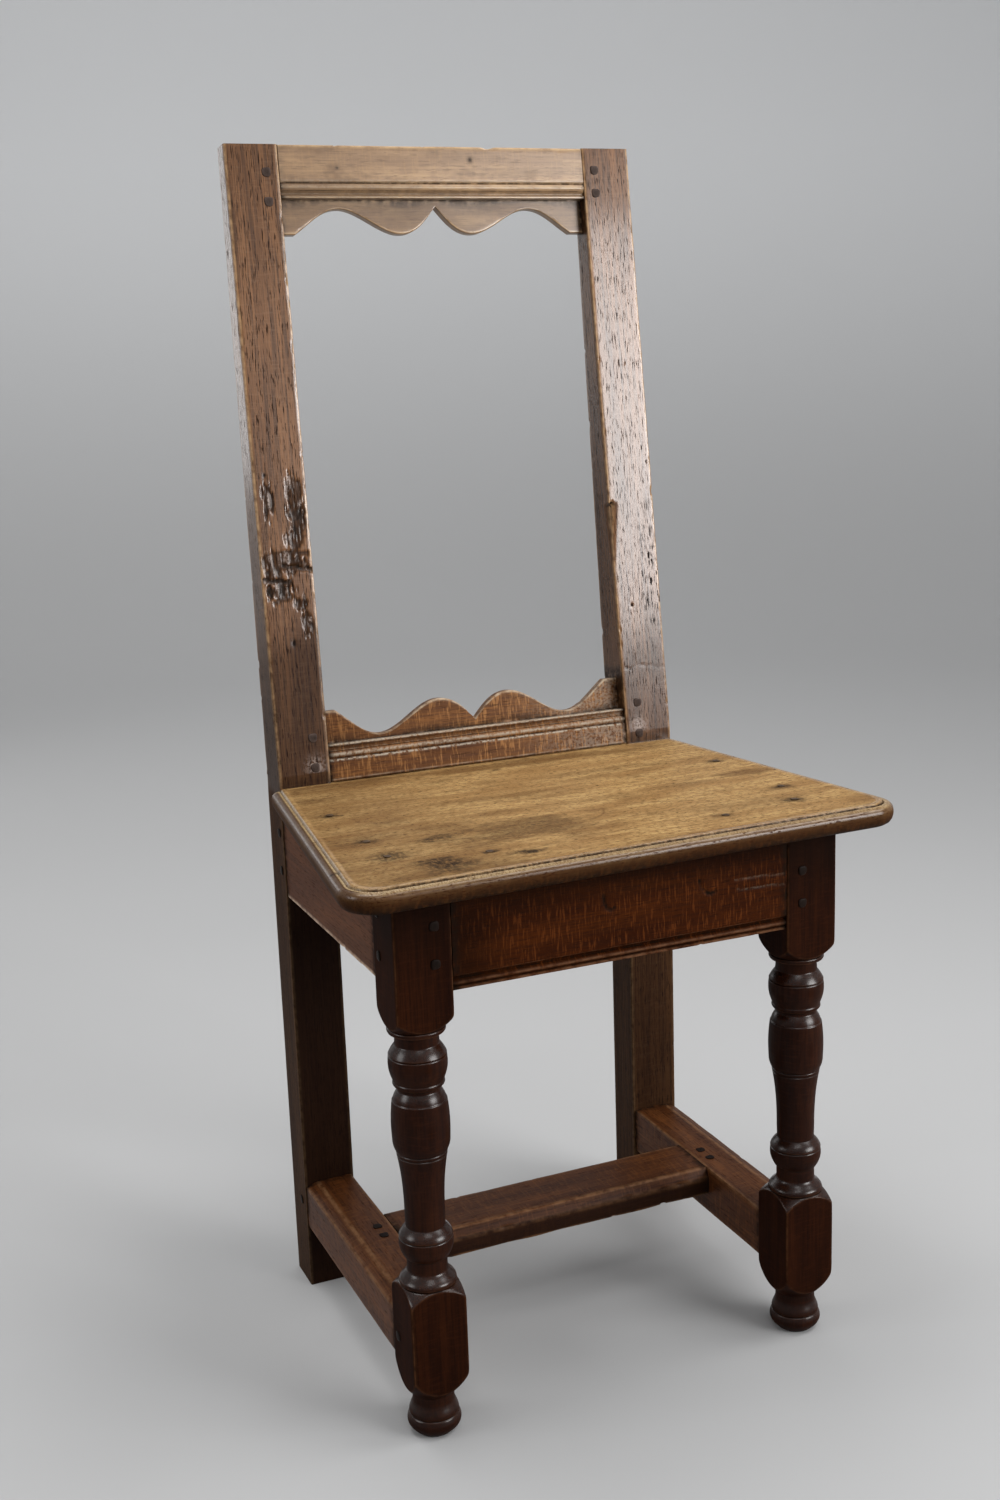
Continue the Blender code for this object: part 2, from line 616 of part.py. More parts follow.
def back_joint(rail, stem, length, thick, middle, low, high, rises, pegs_from):
    """Tenons at both ends of a back rail, with two pegs each from the front of the posts."""
    half = half_between_posts((low + high) / 2)
    for word, side in SIDES.items():
        post = f"rear_post_{word}"
        tenon(rail, post, 0, side * (half - GAP), side * (half + length), (middle - thick / 2, low),
              (middle + thick / 2, high), BACK)
        for number, rise in enumerate(rises[side], 1):
            head = (side * (half + length / 2), 0, pegs_from(rise))
            peg(f"{stem}_{word}_{number}", (rail, post), head, (0, 1, 0), middle + thick / 2 + PEG_BEYOND,
                place=BACK)


crest_curve = scallop(CREST_CUSP, CREST_ARCH)
crest_thick = POST_TOP_DEPTH - 2 * GAP
scalloped_rail("crest_rail", BACK_LENGTH, -1, 0, 0, crest_thick, CREST_HEIGHT, CREST_BAND, CREST_RECESS,
               crest_curve)
crest_middle = CREST_RECESS + GAP + CREST_TENON_THICK / 2
crest_tenon_low = BACK_LENGTH - CREST_HEIGHT + CREST_TENON_SHOULDER
crest_tenon_high = BACK_LENGTH - CREST_TENON_SHOULDER
back_joint("crest_rail", "crest_peg", CREST_TENON_LENGTH, CREST_TENON_THICK, crest_middle,
           crest_tenon_low, crest_tenon_high, CREST_PEG_DROPS, lambda drop: BACK_LENGTH - drop)

lower_curve = scallop(LOWER_RAIL_CUSP, LOWER_RAIL_ARCH)
lower_edge = (SEAT_HEIGHT + GAP - KNEE) / math.cos(LEAN)
scalloped_rail("lower_back_rail", lower_edge, 1, math.tan(LEAN), LOWER_RAIL_SETBACK, LOWER_RAIL_THICK,
               LOWER_RAIL_HEIGHT, LOWER_RAIL_BAND, LOWER_RAIL_RECESS, lower_curve)
lower_middle = LOWER_RAIL_SETBACK + LOWER_RAIL_RECESS + GAP + LOWER_TENON_THICK / 2
lower_tenon_low = lower_edge + LOWER_TENON_SHOULDER
lower_tenon_high = lower_tenon_low + LOWER_TENON_HEIGHT
back_joint("lower_back_rail", "lower_back_peg", LOWER_TENON_LENGTH, LOWER_TENON_THICK, lower_middle,
           lower_tenon_low, lower_tenon_high, LOWER_PEG_RISES, lambda rise: lower_edge + rise)


# Seat board
def meet(p, along_p, q, along_q):
    """Where two lines in the plane cross."""
    cross = along_p.x * along_q.y - along_p.y * along_q.x
    t = ((q.x - p.x) * along_q.y - (q.y - p.y) * along_q.x) / cross
    return p + along_p * t


def round_corner(before, corner, after, radius, steps=6):
    """An arc that takes the place of a corner between two straight edges."""
    first = (before - corner).normalized()
    second = (after - corner).normalized()
    half_angle = first.angle(second) / 2
    centre = corner + (first + second).normalized() * radius / math.sin(half_angle)
    start = corner + first * radius / math.tan(half_angle) - centre
    turn = math.copysign(math.pi - 2 * half_angle, first.cross(second) * -1)
    arc = []
    for i in range(steps + 1):
        arc.append(centre + Matrix.Rotation(turn * i / steps, 2) @ start)
    return arc


def seat_outline(inset):
    """The board seen from above, with its moulded edges drawn in by an inset."""
    rear = FRAME_DEPTH - GAP
    corners = {}
    for side, overhang in ((-1, SEAT_FRONT_OVERHANG_LEFT), (1, SEAT_FRONT_OVERHANG_RIGHT)):
        corners[side] = (Vector((side * (OUTER + SEAT_SIDE_OVERHANG_REAR), rear)),
                         Vector((side * (OUTER + SEAT_SIDE_OVERHANG_FRONT), -overhang)))
    front_way = corners[1][1] - corners[-1][1]
    front_in = Vector((-front_way.y, front_way.x)).normalized() * inset
    level = Vector((1, 0))
    rounded = {}
    for side, (back_corner, front_corner) in corners.items():
        side_way = front_corner - back_corner
        side_in = Vector((side_way.y, -side_way.x)).normalized() * inset * side
        back_point = meet(back_corner + side_in, side_way, Vector((0, rear)), level)
        front_point = meet(back_corner + side_in, side_way, front_corner + front_in, front_way)
        rounded[side] = (back_point, front_point)
    left_arc = round_corner(rounded[-1][0], rounded[-1][1], rounded[1][1], SEAT_CORNER_RADIUS - inset)
    right_arc = round_corner(rounded[-1][1], rounded[1][1], rounded[1][0], SEAT_CORNER_RADIUS - inset)
    outline = [rounded[-1][0]] + left_arc + right_arc + [rounded[1][0]]
    tongue = OUTER - POST_WIDTH - GAP
    tongue_end = POST_BACK - SEAT_TONGUE_SETBACK
    for x, y in ((tongue, rear), (tongue, tongue_end), (-tongue, tongue_end), (-tongue, rear)):
        outline.append(Vector((x, y)))
    return outline


edge_top = SEAT_THICK - QUIRK_DEPTH
rings = []
for share, up in NOSING_STEPS:
    height = SEAT_UNDER + edge_top * up
    rings.append([(p.x, p.y, height) for p in seat_outline(NOSING_WIDTH * share)])
rings.append([(p.x, p.y, SEAT_HEIGHT) for p in seat_outline(NOSING_WIDTH)])
piece("seat_board", loft(rings), "seat")

seat_pegs = []
for word, side in SIDES.items():
    side_x = side * (OUTER - SEAT_PEG_INSET)
    for number, back in enumerate(SIDE_SEAT_PEGS[side], 1):
        seat_pegs.append((f"seat_peg_{word}_{number}", f"side_seat_rail_{word}", side_x, back))
    inset, back = LEG_SEAT_PEGS[side]
    seat_pegs.append((f"seat_peg_{word}_leg", f"front_leg_{word}", side * (OUTER - inset), back))
for word, across in zip(SIDES, FRONT_SEAT_PEGS):
    seat_pegs.append((f"seat_peg_front_{word}", "front_seat_rail", across, SEAT_PEG_FRONT))
for name, under, x, y in seat_pegs:
    head = (x, y, SEAT_HEIGHT)
    peg(name, ("seat_board", under), head, (0, 0, -1), SEAT_THICK + SEAT_PEG_BITE, SEAT_PEG_RADIUS, -GAP)

# Tenons, mortises and peg holes
for name in additions:
    item = bpy.data.objects[name]
    combine(item, "tenons", "UNION", additions[name])
    combine(item, "mortises", "DIFFERENCE", mortises[name])
    combine(item, "peg_holes", "DIFFERENCE", drillings[name])

# Origin under the middle of the chair's box
front_most = min(point.y for point in seat_outline(0))
rear_most = max(POST_BACK, (BACK @ Vector((0, POST_TOP_DEPTH, BACK_LENGTH))).y)
chair.location.y = -(front_most + rear_most) / 2
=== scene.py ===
# %% [markdown]
# # An old oak backstool
# A backstool is a joined chair: square posts and rails held by pegged tenons, turned front legs and a
# board seat. In this lesson the plain solids of the chair come in as a fixed frame, and every piece gets
# a worn skin of its own: rubbed arrises, torn grain, crisp turning and oak that has been waxed for
# centuries. The frame tells us where each piece is, so nothing has to be fitted by eye.

# %% Load the frame
import itertools
import math

import bmesh
import bpy
import numpy as np
from mathutils import Matrix, Vector


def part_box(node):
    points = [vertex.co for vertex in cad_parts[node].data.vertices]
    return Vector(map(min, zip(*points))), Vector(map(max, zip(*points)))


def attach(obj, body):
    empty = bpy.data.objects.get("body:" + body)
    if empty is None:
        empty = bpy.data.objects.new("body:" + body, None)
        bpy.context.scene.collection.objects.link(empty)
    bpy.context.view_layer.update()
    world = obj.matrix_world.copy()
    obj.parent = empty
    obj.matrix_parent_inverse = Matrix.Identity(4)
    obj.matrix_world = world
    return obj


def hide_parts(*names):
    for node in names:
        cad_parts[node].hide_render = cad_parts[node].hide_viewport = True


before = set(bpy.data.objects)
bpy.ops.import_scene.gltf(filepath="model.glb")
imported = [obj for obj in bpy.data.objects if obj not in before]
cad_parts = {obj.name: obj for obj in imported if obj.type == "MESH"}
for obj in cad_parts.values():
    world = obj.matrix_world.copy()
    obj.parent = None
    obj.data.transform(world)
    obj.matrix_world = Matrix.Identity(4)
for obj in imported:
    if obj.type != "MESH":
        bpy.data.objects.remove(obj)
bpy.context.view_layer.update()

# %% [markdown]
# ## Measures
# A joiner marks out a chair from a few lines: the floor, the seat, the faces of the legs and posts. Most
# of them can be read from the frame. The back leans from a bend just above the seat, so a second set of
# directions runs up the leaning faces of the posts: across, into the wood and up the back.

# %% Lines to measure from
MM = 0.001
GAP = 0.3 * MM
leg_low, leg_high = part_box("front_leg_left")
post_low, post_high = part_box("rear_post_left")
seat_low, seat_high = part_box("seat_board")

FRONT = leg_low.y
OUTER = -leg_low.x
LEG_SIZE = leg_high.x - leg_low.x
POST_FRONT = post_low.y
POST_WIDTH = 45 * MM
POST_DEPTH = 39 * MM
POST_TOP_DEPTH = 19 * MM
SEAT_TOP = seat_high.z
SEAT_UNDER = seat_low.z
CHAIR_TOP = post_high.z
KNEE = SEAT_TOP + 10 * MM
BACK_RAKE = 60 * MM
BACK_TOP_NARROWING = 3.5 * MM

LEAN = math.atan2(BACK_RAKE, CHAIR_TOP - KNEE)
BACK_LENGTH = math.hypot(BACK_RAKE, CHAIR_TOP - KNEE)


def on_back(across, depth, rise):
    """Points from their place on the back: across, into the wood, and up from the bend in the posts."""
    y = POST_FRONT + depth * math.cos(LEAN) + rise * math.sin(LEAN)
    z = KNEE - depth * math.sin(LEAN) + rise * math.cos(LEAN)
    return np.stack(np.broadcast_arrays(across, y, z), -1)


def half_between_posts(rise):
    """Half the clear width between the posts at a distance up the back."""
    return OUTER - POST_WIDTH - BACK_TOP_NARROWING * np.maximum(rise, 0) / BACK_LENGTH


print(f"seat at {SEAT_TOP:.3f} m, back leans {math.degrees(LEAN):.2f} degrees over {BACK_LENGTH:.3f} m")

# %% [markdown]
# ## Chance, kept on a lead
# Old wood is never even, but a script has to give the same chair every time. Noise from a lattice does
# both: whole numbers are scrambled into fixed values, and the values are blended smoothly in between. A
# size for each axis makes the blobs long along the grain and short across it.

# %% Smooth noise
LATTICE = (73856093, 19349663, 83492791)
SCRAMBLE = 1274126177
SEED_STEP = 17.31


def cloud(points, size, seed=0.0):
    """Smooth values from -1 to 1 at the points, in blobs about one size across."""
    scaled = np.asarray(points, float) / np.asarray(size, float) + seed * SEED_STEP
    cell = np.floor(scaled).astype(np.int64)
    part = scaled - cell
    part = part * part * (3 - 2 * part)
    total = np.zeros(scaled.shape[:-1])
    for corner in itertools.product((0, 1), repeat=3):
        spot = (cell + corner) * LATTICE
        mixed = spot[..., 0] ^ spot[..., 1] ^ spot[..., 2]
        mixed = (mixed ^ (mixed >> 13)) * SCRAMBLE
        mixed = (mixed ^ (mixed >> 15)) & 0xFFFF
        share = np.prod(np.where(corner, part, 1 - part), axis=-1)
        total += share * (mixed / 0x7FFF - 1)
    return total


def ramp(value, low, high):
    """0 below low, 1 above high, and a smooth rise between them."""
    t = np.clip((np.asarray(value, float) - low) / (high - low), 0, 1)
    return t * t * (3 - 2 * t)


def near(distance, reach):
    """1 at no distance, falling smoothly to nothing over the reach."""
    return np.exp(-(np.asarray(distance, float) / reach) ** 2)


trial = cloud(np.random.default_rng(1).random((2000, 3)), 0.1)
print(f"noise runs from {trial.min():.2f} to {trial.max():.2f}")

# %% [markdown]
# ## From rings to timber
# Every member is long, so each is made as a row of closed rings along its length, capped at both ends.
# Besides its shape, a vertex carries facts that the finish will need: its place in the plank, with the
# first number along the grain, how much hands have rubbed it, how much dark dirt and painted shade lie
# there, how much pale dust and painted sheen, how far it is darkened by age and by painted shade, and how
# far it has gone matt.

# %% Make a piece from rings
CRISP_ANGLE = math.radians(48)
# grime and dust carry painted shade and painted sheen as well as real dirt and dust
FACTS = ("worn", "grime", "dust", "shade", "matt")
pieces_made = []


def timber(node, rings, plank, slot, **facts):
    """A closed piece from a grid of rings, standing for one node of the frame."""
    stations, around = rings.shape[:2]
    index = np.arange(stations * around).reshape(stations, around)
    low = index[:-1]
    high = index[1:]
    quads = np.stack([low, np.roll(low, -1, 1), np.roll(high, -1, 1), high], -1).reshape(-1, 4)
    faces = quads.tolist() + [index[0][::-1].tolist(), index[-1].tolist()]
    mesh = bpy.data.meshes.new(f"worn_{node}")
    mesh.from_pydata(rings.reshape(-1, 3).tolist(), [], faces)
    solid = bmesh.new()
    solid.from_mesh(mesh)
    bmesh.ops.recalc_face_normals(solid, faces=solid.faces)
    solid.to_mesh(mesh)
    solid.free()
    places = mesh.attributes.new("plank", "FLOAT_VECTOR", "POINT")
    places.data.foreach_set("vector", np.ascontiguousarray(plank, np.float32).ravel())
    for name in FACTS:
        spread = np.broadcast_to(facts.get(name, 0.0), (stations, around))
        layer = mesh.attributes.new(name, "FLOAT", "POINT")
        layer.data.foreach_set("value", np.ascontiguousarray(spread, np.float32).ravel())
    mesh.shade_smooth()
    mesh.set_sharp_from_angle(angle=CRISP_ANGLE)
    piece = bpy.data.objects.new(f"worn_{node}", mesh)
    bpy.context.scene.collection.objects.link(piece)
    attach(piece, "root")
    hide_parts(node)
    pieces_made.append(piece)
    return piece


print("facts on every vertex:", ", ".join(FACTS))

# %% [markdown]
# ## Sections and wear
# A plane leaves sharp arrises, and hands, feet and cloth round them over. A section is therefore a
# polygon with rounded corners, and each point remembers how far it is from the nearest arris. The
# weathering then rubs the arrises unevenly, breaks small chips out of them and lets the faces wander by
# a fraction of a millimetre, which is what makes highlights on hand-planed wood move.

# %% Rounded sections and weathering
ARRIS_STEPS = 5
ARRIS_REACH = 1.0 * MM
BAR_STEP = 3 * MM


def rectangle(a0, a1, b0, b1):
    """The corners of a rectangle, in order round it."""
    return [(a0, b0), (a1, b0), (a1, b1), (a0, b1)]


def squarish(turn, power):
    """How far out a square with blunt corners lies in each direction, as a share of half its width."""
    return (np.abs(np.cos(turn)) ** power + np.abs(np.sin(turn)) ** power) ** (-1 / power)


def rounded_outline(corners, radius, counts):
    """Points round a polygon with rounded corners, and how far each is from an arris along the face."""
    corners = np.array(corners, float)
    back = np.roll(corners, 1, 0) - corners
    on = np.roll(corners, -1, 0) - corners
    starts = corners + back / np.linalg.norm(back, axis=1, keepdims=True) * radius
    ends = corners + on / np.linalg.norm(on, axis=1, keepdims=True) * radius
    points = []
    distance = []
    for i, count in enumerate(counts):
        t = np.linspace(0, 1, ARRIS_STEPS)[:, None]
        points.append((1 - t) ** 2 * starts[i] + 2 * t * (1 - t) * corners[i] + t * t * ends[i])
        distance.append(np.zeros(ARRIS_STEPS))
        t = np.linspace(0, 1, count + 2)[1:-1]
        face = starts[(i + 1) % len(corners)] - ends[i]
        points.append(ends[i] + face * t[:, None])
        distance.append(np.linalg.norm(face) * np.minimum(t, 1 - t))
    return np.concatenate(points), np.concatenate(distance)


def outward(rings):
    """The direction out of the surface at every point of a grid of rings."""
    along = np.gradient(rings, axis=0)
    around = np.roll(rings, -1, 1) - np.roll(rings, 1, 1)
    way = np.cross(around, along)
    way /= np.maximum(np.linalg.norm(way, axis=-1, keepdims=True), 1e-12)
    middle = rings.mean(1, keepdims=True)
    return way * np.sign((way * (rings - middle)).sum())


def weather(rings, worn, seed, rub=0.3 * MM, wander=0.10 * MM):
    """Rub and chip what is worn, and let the faces wander."""
    loss = worn * rub * (0.5 + 0.5 * cloud(rings, 25 * MM, seed))
    chips = worn * rub * 2.5 * ramp(cloud(rings, 7 * MM, seed + 3), 0.62, 0.85)
    drift = wander * cloud(rings, 55 * MM, seed + 7)
    return rings - outward(rings) * (loss + chips - drift)[..., None]


def straight(node, section, start, end, axis, seed, slot, worn, rub=0.3 * MM, **facts):
    """A straight member along x (0) or y (1), with dirt gathered in the joints at its ends."""
    at = np.linspace(start, end, max(8, int(abs(end - start) / BAR_STEP)))
    grid = np.broadcast_arrays(at[:, None], section[None, :, 0], section[None, :, 1])
    order = (0, 1, 2) if axis == 0 else (1, 0, 2)
    rings = np.stack([grid[i] for i in order], -1)
    plank = np.stack(grid, -1) + seed * SEED_STEP * MM
    grime = near(np.minimum(np.abs(at - start), np.abs(at - end)), 5 * MM)[:, None]
    rings = weather(rings, np.broadcast_to(worn, rings.shape[:2]), seed, rub)
    return timber(node, rings, plank, slot, worn=worn, grime=grime, **facts)


print("a rounded arris has", ARRIS_STEPS, "points, and a bar has a ring every", BAR_STEP / MM, "mm")

# %% [markdown]
# ## Rear posts
# Each post is one piece of oak from the floor to the top of the back, bent just above the seat and
# thinned towards its top. The left one was torn and cut across on its front face. The right one has lost
# a splinter from its inner arris, and has worm holes, a fine crack and open pores full of dirt. Those
# marks are carved into the rings, because they catch light and break the outline. A hollow also collects
# dirt, so each function gives a depth together with the places that are dirty or dusty.

# %% Post rings
POST_ARRIS = 1.2 * MM
POST_FACES = (74, 12, 14, 12)
CREST_TOP = BACK_LENGTH
LOW_STEP = 6 * MM
HIGH_STEP = 1.5 * MM


def post_rings(side):
    """Rings up a post, with their rise from the bend and the places of their points in the section."""
    below = np.arange(0, KNEE, LOW_STEP) - KNEE
    above = np.linspace(0, BACK_LENGTH, int(BACK_LENGTH / HIGH_STEP))
    rise = np.concatenate([below, above])
    high = np.clip(rise / BACK_LENGTH, 0, 1)
    half = POST_WIDTH / 2
    thick, distance = rounded_outline(rectangle(-half, half, 0, POST_DEPTH), POST_ARRIS, POST_FACES)
    thin, _ = rounded_outline(rectangle(-half, half, 0, POST_TOP_DEPTH), POST_ARRIS, POST_FACES)
    section = thick + (thin - thick) * high[:, None, None]
    middle = side * (OUTER - POST_WIDTH / 2 - BACK_TOP_NARROWING * high)
    across = middle[:, None] + section[..., 0]
    depth = section[..., 1]
    upright = np.stack(np.broadcast_arrays(across, POST_FRONT + depth, KNEE + rise[:, None]), -1)
    leaning = on_back(across, depth, rise[:, None])
    rings = np.where((rise < 0)[:, None, None], upright, leaning)
    return rings, rise, section, distance


print("a post has {} rings of {} points".format(*post_rings(1)[0].shape[:2]))

# %% Torn face of the left post
TORN_PATCHES = (                # across the face from its middle, rise, half width, half height, depth
    (11.0, 238, 7.0, 15, 1.3), (12.0, 214, 7.5, 16, 1.2), (9.0, 197, 9.0, 9, 0.8),
    (-11.0, 230, 4.5, 15, 1.1), (-2.0, 178, 20.0, 9, 0.9), (-12.0, 169, 9.0, 5, 1.2),
    (-8.5, 155, 11.5, 8, 1.3), (9.0, 143, 7.0, 7, 1.1), (13.5, 127, 6.0, 10, 1.0),
)
CUTS = (                        # from (across, rise) to (across, rise), depth
    ((-4.0, 176.8), (22.0, 172.0), 2.1), ((-22.0, 166.5), (2.5, 163.0), 2.1),
    ((-4.0, 187.5), (20.0, 185.5), 0.9), ((-14.0, 147.0), (2.5, 150.5), 0.9),
)
PIN_HOLES = ((0.5, 111, 2.0), (-12.5, 250, 1.4))    # across, rise, width
PIN_DEPTH = 0.35 * MM


def torn_depth(u, rise):
    """How deep the left post's face is torn along the grain, and where fibres and painted glints stand."""
    spot = np.stack(np.broadcast_arrays(u, rise, 0 * u), -1)
    splits = ramp(1 - np.abs(cloud(spot, (3.0 * MM, 16 * MM, 1), 5)), 0.55, 0.98)
    lumps = 0.5 + 0.5 * cloud(spot, (3.5 * MM, 4.5 * MM, 1), 11)
    ragged = 0.6 * cloud(spot, (3 * MM, 9 * MM, 1), 2) + 0.3 * cloud(spot, (1.3 * MM, 4 * MM, 1), 4)
    depth = np.zeros(spot.shape[:2])
    for across, up, wide, tall, deep in TORN_PATCHES:
        away = np.hypot((u - across * MM) / (wide * MM), (rise - up * MM) / (tall * MM))
        depth = np.maximum(depth, deep * MM * ramp(1.1 - away + ragged, 0, 0.35))
    depth = depth * (0.25 + 0.6 * splits + 0.35 * lumps)
    for (u0, r0), (u1, r1), deep in CUTS:
        t = np.clip((u / MM - u0) / (u1 - u0), 0, 1)
        line = (r0 + (r1 - r0) * t) * MM + 0.8 * MM * cloud(spot, (4 * MM, 50 * MM, 1), 9)
        inside = ramp(u / MM, u0 - 1, u0 + 1) * ramp(-u / MM, -u1 - 1, -u1 + 1)
        below = ramp(line - rise, -0.8 * MM, 0) * ramp(rise - line, -5 * MM, -0.5 * MM)
        depth = np.maximum(depth, deep * MM * inside * below)
    glint = ramp(cloud(spot, (1.4 * MM, 7 * MM, 1), 15), 0.0, 0.5)
    fibres_and_glints = ramp(depth, 0.15 * MM, 0.45 * MM) * (1 - splits) * glint
    pins = np.zeros(spot.shape[:2])
    for across, up, wide in PIN_HOLES:
        away = np.hypot(u - across * MM, (rise - up * MM) / 1.5)
        pins = np.maximum(pins, near(away, wide * MM))
    return np.maximum(depth, PIN_DEPTH * pins), fibres_and_glints, pins


print(len(TORN_PATCHES), "torn places,", len(CUTS), "cuts and", len(PIN_HOLES), "pin holes")

# %% Splinter and pits of the right post
CHIP_TOP = 213 * MM
CHIP_SOFT_END = 150 * MM
CHIP_DEPTH = 4.0 * MM
WORM_HOLES = ((18.0, 242, 0.8), (-7.0, 115, 1.2), (4.0, 330, 0.7))      # across, rise, width
WORM_DEPTH = 0.6 * MM
CRACK = ((-21.0, 61.0), (22.0, 56.0))
CRACK_DEPTH = 0.22 * MM
DASHES = (14.0, 140.0)          # middle of a patch of open pores


def splinter_depth(u, rise, depth):
    """A splinter lost from the inner arris, abrupt and dark at its top, and where that broken end is."""
    from_arris = np.hypot(u + POST_WIDTH / 2, depth)
    ragged = 5 * MM * cloud(np.stack(np.broadcast_arrays(u, rise, 0 * u), -1), (4 * MM, 9 * MM, 1), 8)
    top = CHIP_TOP + ragged - 1.2 * np.abs(u + POST_WIDTH / 2 - 4 * MM)
    open_end = ramp(top - rise, 0, 3 * MM)
    taper = np.clip((rise - CHIP_SOFT_END) / (CHIP_TOP - CHIP_SOFT_END), 0, 1)
    lost = CHIP_DEPTH * taper * near(from_arris, (1.0 + 4.2 * taper) * MM) * open_end
    return lost, near(top - rise - 1 * MM, 2.5 * MM) * ramp(lost, 0.1 * MM, 0.8 * MM)


def pit_depth(u, rise):
    """Worm holes and a fine crack in the right post's face, and where its open pores are full of dirt."""
    spot = np.stack(np.broadcast_arrays(u, rise, 0 * u), -1)
    depth = np.zeros(spot.shape[:2])
    for across, up, wide in WORM_HOLES:
        depth = np.maximum(depth, WORM_DEPTH * near(np.hypot(u - across * MM, rise - up * MM), wide * MM))
    (u0, r0), (u1, r1) = CRACK
    t = np.clip((u / MM - u0) / (u1 - u0), 0, 1)
    line = (r0 + (r1 - r0) * t) * MM + 3.5 * MM * cloud(spot, (7 * MM, 60 * MM, 1), 19)
    broken = 0.4 + 0.6 * ramp(cloud(spot, (5 * MM, 60 * MM, 1), 23), -0.3, 0.3)
    depth = np.maximum(depth, CRACK_DEPTH * broken * near(rise - line, 0.8 * MM))
    patch = near(u / MM - DASHES[0], 9) * near(rise / MM - DASHES[1], 45)
    dashes = patch * ramp(cloud(spot, (1.0 * MM, 6 * MM, 1), 27), 0.2, 0.45)
    return depth, dashes


print("the splinter is", round((CHIP_TOP - CHIP_SOFT_END) / MM), "mm long, worm holes:", len(WORM_HOLES))

# %% Both posts
POST_LOOKS = {                  # where the back darkens towards the seat, how dark and matt it is, its head
    # below_seat is how dark the painted shade under the seat is
    "left": {"handled": 100 * MM, "deepest": 0.62, "below_seat": 1.0, "unpolished": 0.6,
             "dark_head": 0.16, "matt_head": 0.0},
    "right": {"handled": 62 * MM, "deepest": 0.45, "below_seat": 0.80, "unpolished": 0.1,
              "dark_head": 0.0, "matt_head": 0.55},
}


def rear_post(word, side, seed):
    """A post and its marks: painted shade under the seat, behind and inside, dirt by the seat, rubbed
    arrises.
    """
    look = POST_LOOKS[word]
    rings, rise, section, distance = post_rings(side)
    up = rise[:, None]
    u = section[..., 0]
    depth = section[..., 1]
    on_face = (depth < POST_ARRIS * 0.5) & (up > 0)
    inner = ramp(-side * u, POST_WIDTH / 2 - 0.3 * MM, POST_WIDTH / 2 - 0.1 * MM)
    worn = near(distance, ARRIS_REACH) * (1 - 0.65 * ramp(-up, 5 * MM, 30 * MM)) * np.ones_like(u)
    # painted shade on the inner face beside the crest and the lower rail, and dirt along the seat line
    beside_crest = ramp(up, CREST_TOP - 76 * MM, CREST_TOP - 68 * MM)
    beside_lower = ramp(-up, -64 * MM, -56 * MM) * (up > 0)
    seat_line = near(up - (SEAT_TOP - KNEE), 5 * MM) * (depth < POST_ARRIS)
    grime = 0.8 * np.maximum(seat_line, inner * np.maximum(beside_crest, beside_lower))
    full_depth = POST_DEPTH + (POST_TOP_DEPTH - POST_DEPTH) * np.clip(up / BACK_LENGTH, 0, 1)
    behind = ramp(depth / full_depth, 0.90, 0.98)
    outside = ramp(side * u, POST_WIDTH / 2 - 0.3 * MM, POST_WIDTH / 2 - 0.1 * MM) * (1 - behind)
    blotch = 16 * MM * cloud(rings, (40 * MM, 40 * MM, 60 * MM), seed)
    low_on_back = ramp(-(up + blotch), -look["handled"] - 55 * MM, -look["handled"])
    under_seat = ramp(-up, 10 * MM, 16 * MM)
    shade = look["deepest"] * low_on_back
    # painted shade: dark under the seat, on the back and low on the outer face, and over the inner face
    shade = np.maximum(shade, look["below_seat"] * under_seat * (1 - behind) * (1 - outside))
    shade = np.maximum(shade, 0.85 * behind * ramp(-(up + 2 * blotch), -150 * MM, 60 * MM))
    shade = np.maximum(shade, 0.80 * outside * ramp(-(up + blotch), -230 * MM, -20 * MM))
    shade = np.maximum(shade, 0.42 * inner * (up > 0))
    shade = np.maximum(shade, look["dark_head"] * ramp(up + blotch, 360 * MM, 480 * MM))
    matt = np.maximum(np.maximum(look["unpolished"] * low_on_back, under_seat), 0.5 * behind)
    matt = np.maximum(matt, look["matt_head"] * ramp(up + blotch, 425 * MM, 475 * MM))
    dust = 0.7 * near(np.hypot(u + side * 10 * MM, up - 6 * MM), 7 * MM) * on_face
    if side < 0:
        torn, fibres_and_glints, pins = torn_depth(u, up)
        carved = np.where(on_face, torn, 0)
        grime = np.maximum(grime, 0.9 * ramp(carved, 0.45 * MM, 1.4 * MM))
        grime = np.maximum(grime, 1.5 * pins * on_face)
        # pale fibres on the torn ridges, with painted glints on them
        dust = np.maximum(dust, np.where(on_face, 0.9 * fibres_and_glints, 0))
        shade = np.maximum(shade, np.where(on_face, 0.7 * ramp(carved, 0.05 * MM, 0.3 * MM), 0))
    else:
        lost, broken_end = splinter_depth(u, up, depth)
        carved = np.where(up > 0, lost, 0)
        worn = np.maximum(worn, 0.8 * ramp(carved, 0.3 * MM, 1.2 * MM))
        pits, dashes = pit_depth(u, up)
        pits = np.where(on_face, pits, 0)
        grime = np.maximum(grime, 1.4 * ramp(pits, 0.05 * MM, 0.3 * MM))
        grime = np.maximum(grime, 2.0 * dashes * on_face)
        grime = np.maximum(grime, 1.3 * broken_end * (up > 0))
        carved = carved + pits
    way = outward(rings)
    rings = weather(rings, worn, seed) - way * carved[..., None]
    plank = np.stack(np.broadcast_arrays(up, u, depth), -1) + seed * SEED_STEP * MM
    return timber(f"rear_post_{word}", rings, plank, "oak_back", worn=worn, grime=grime, dust=dust,
                  shade=shade, matt=matt)


for word, side, seed in (("left", -1, 21), ("right", 1, 22)):
    post = rear_post(word, side, seed)
    print(post.name, len(post.data.vertices), "vertices")

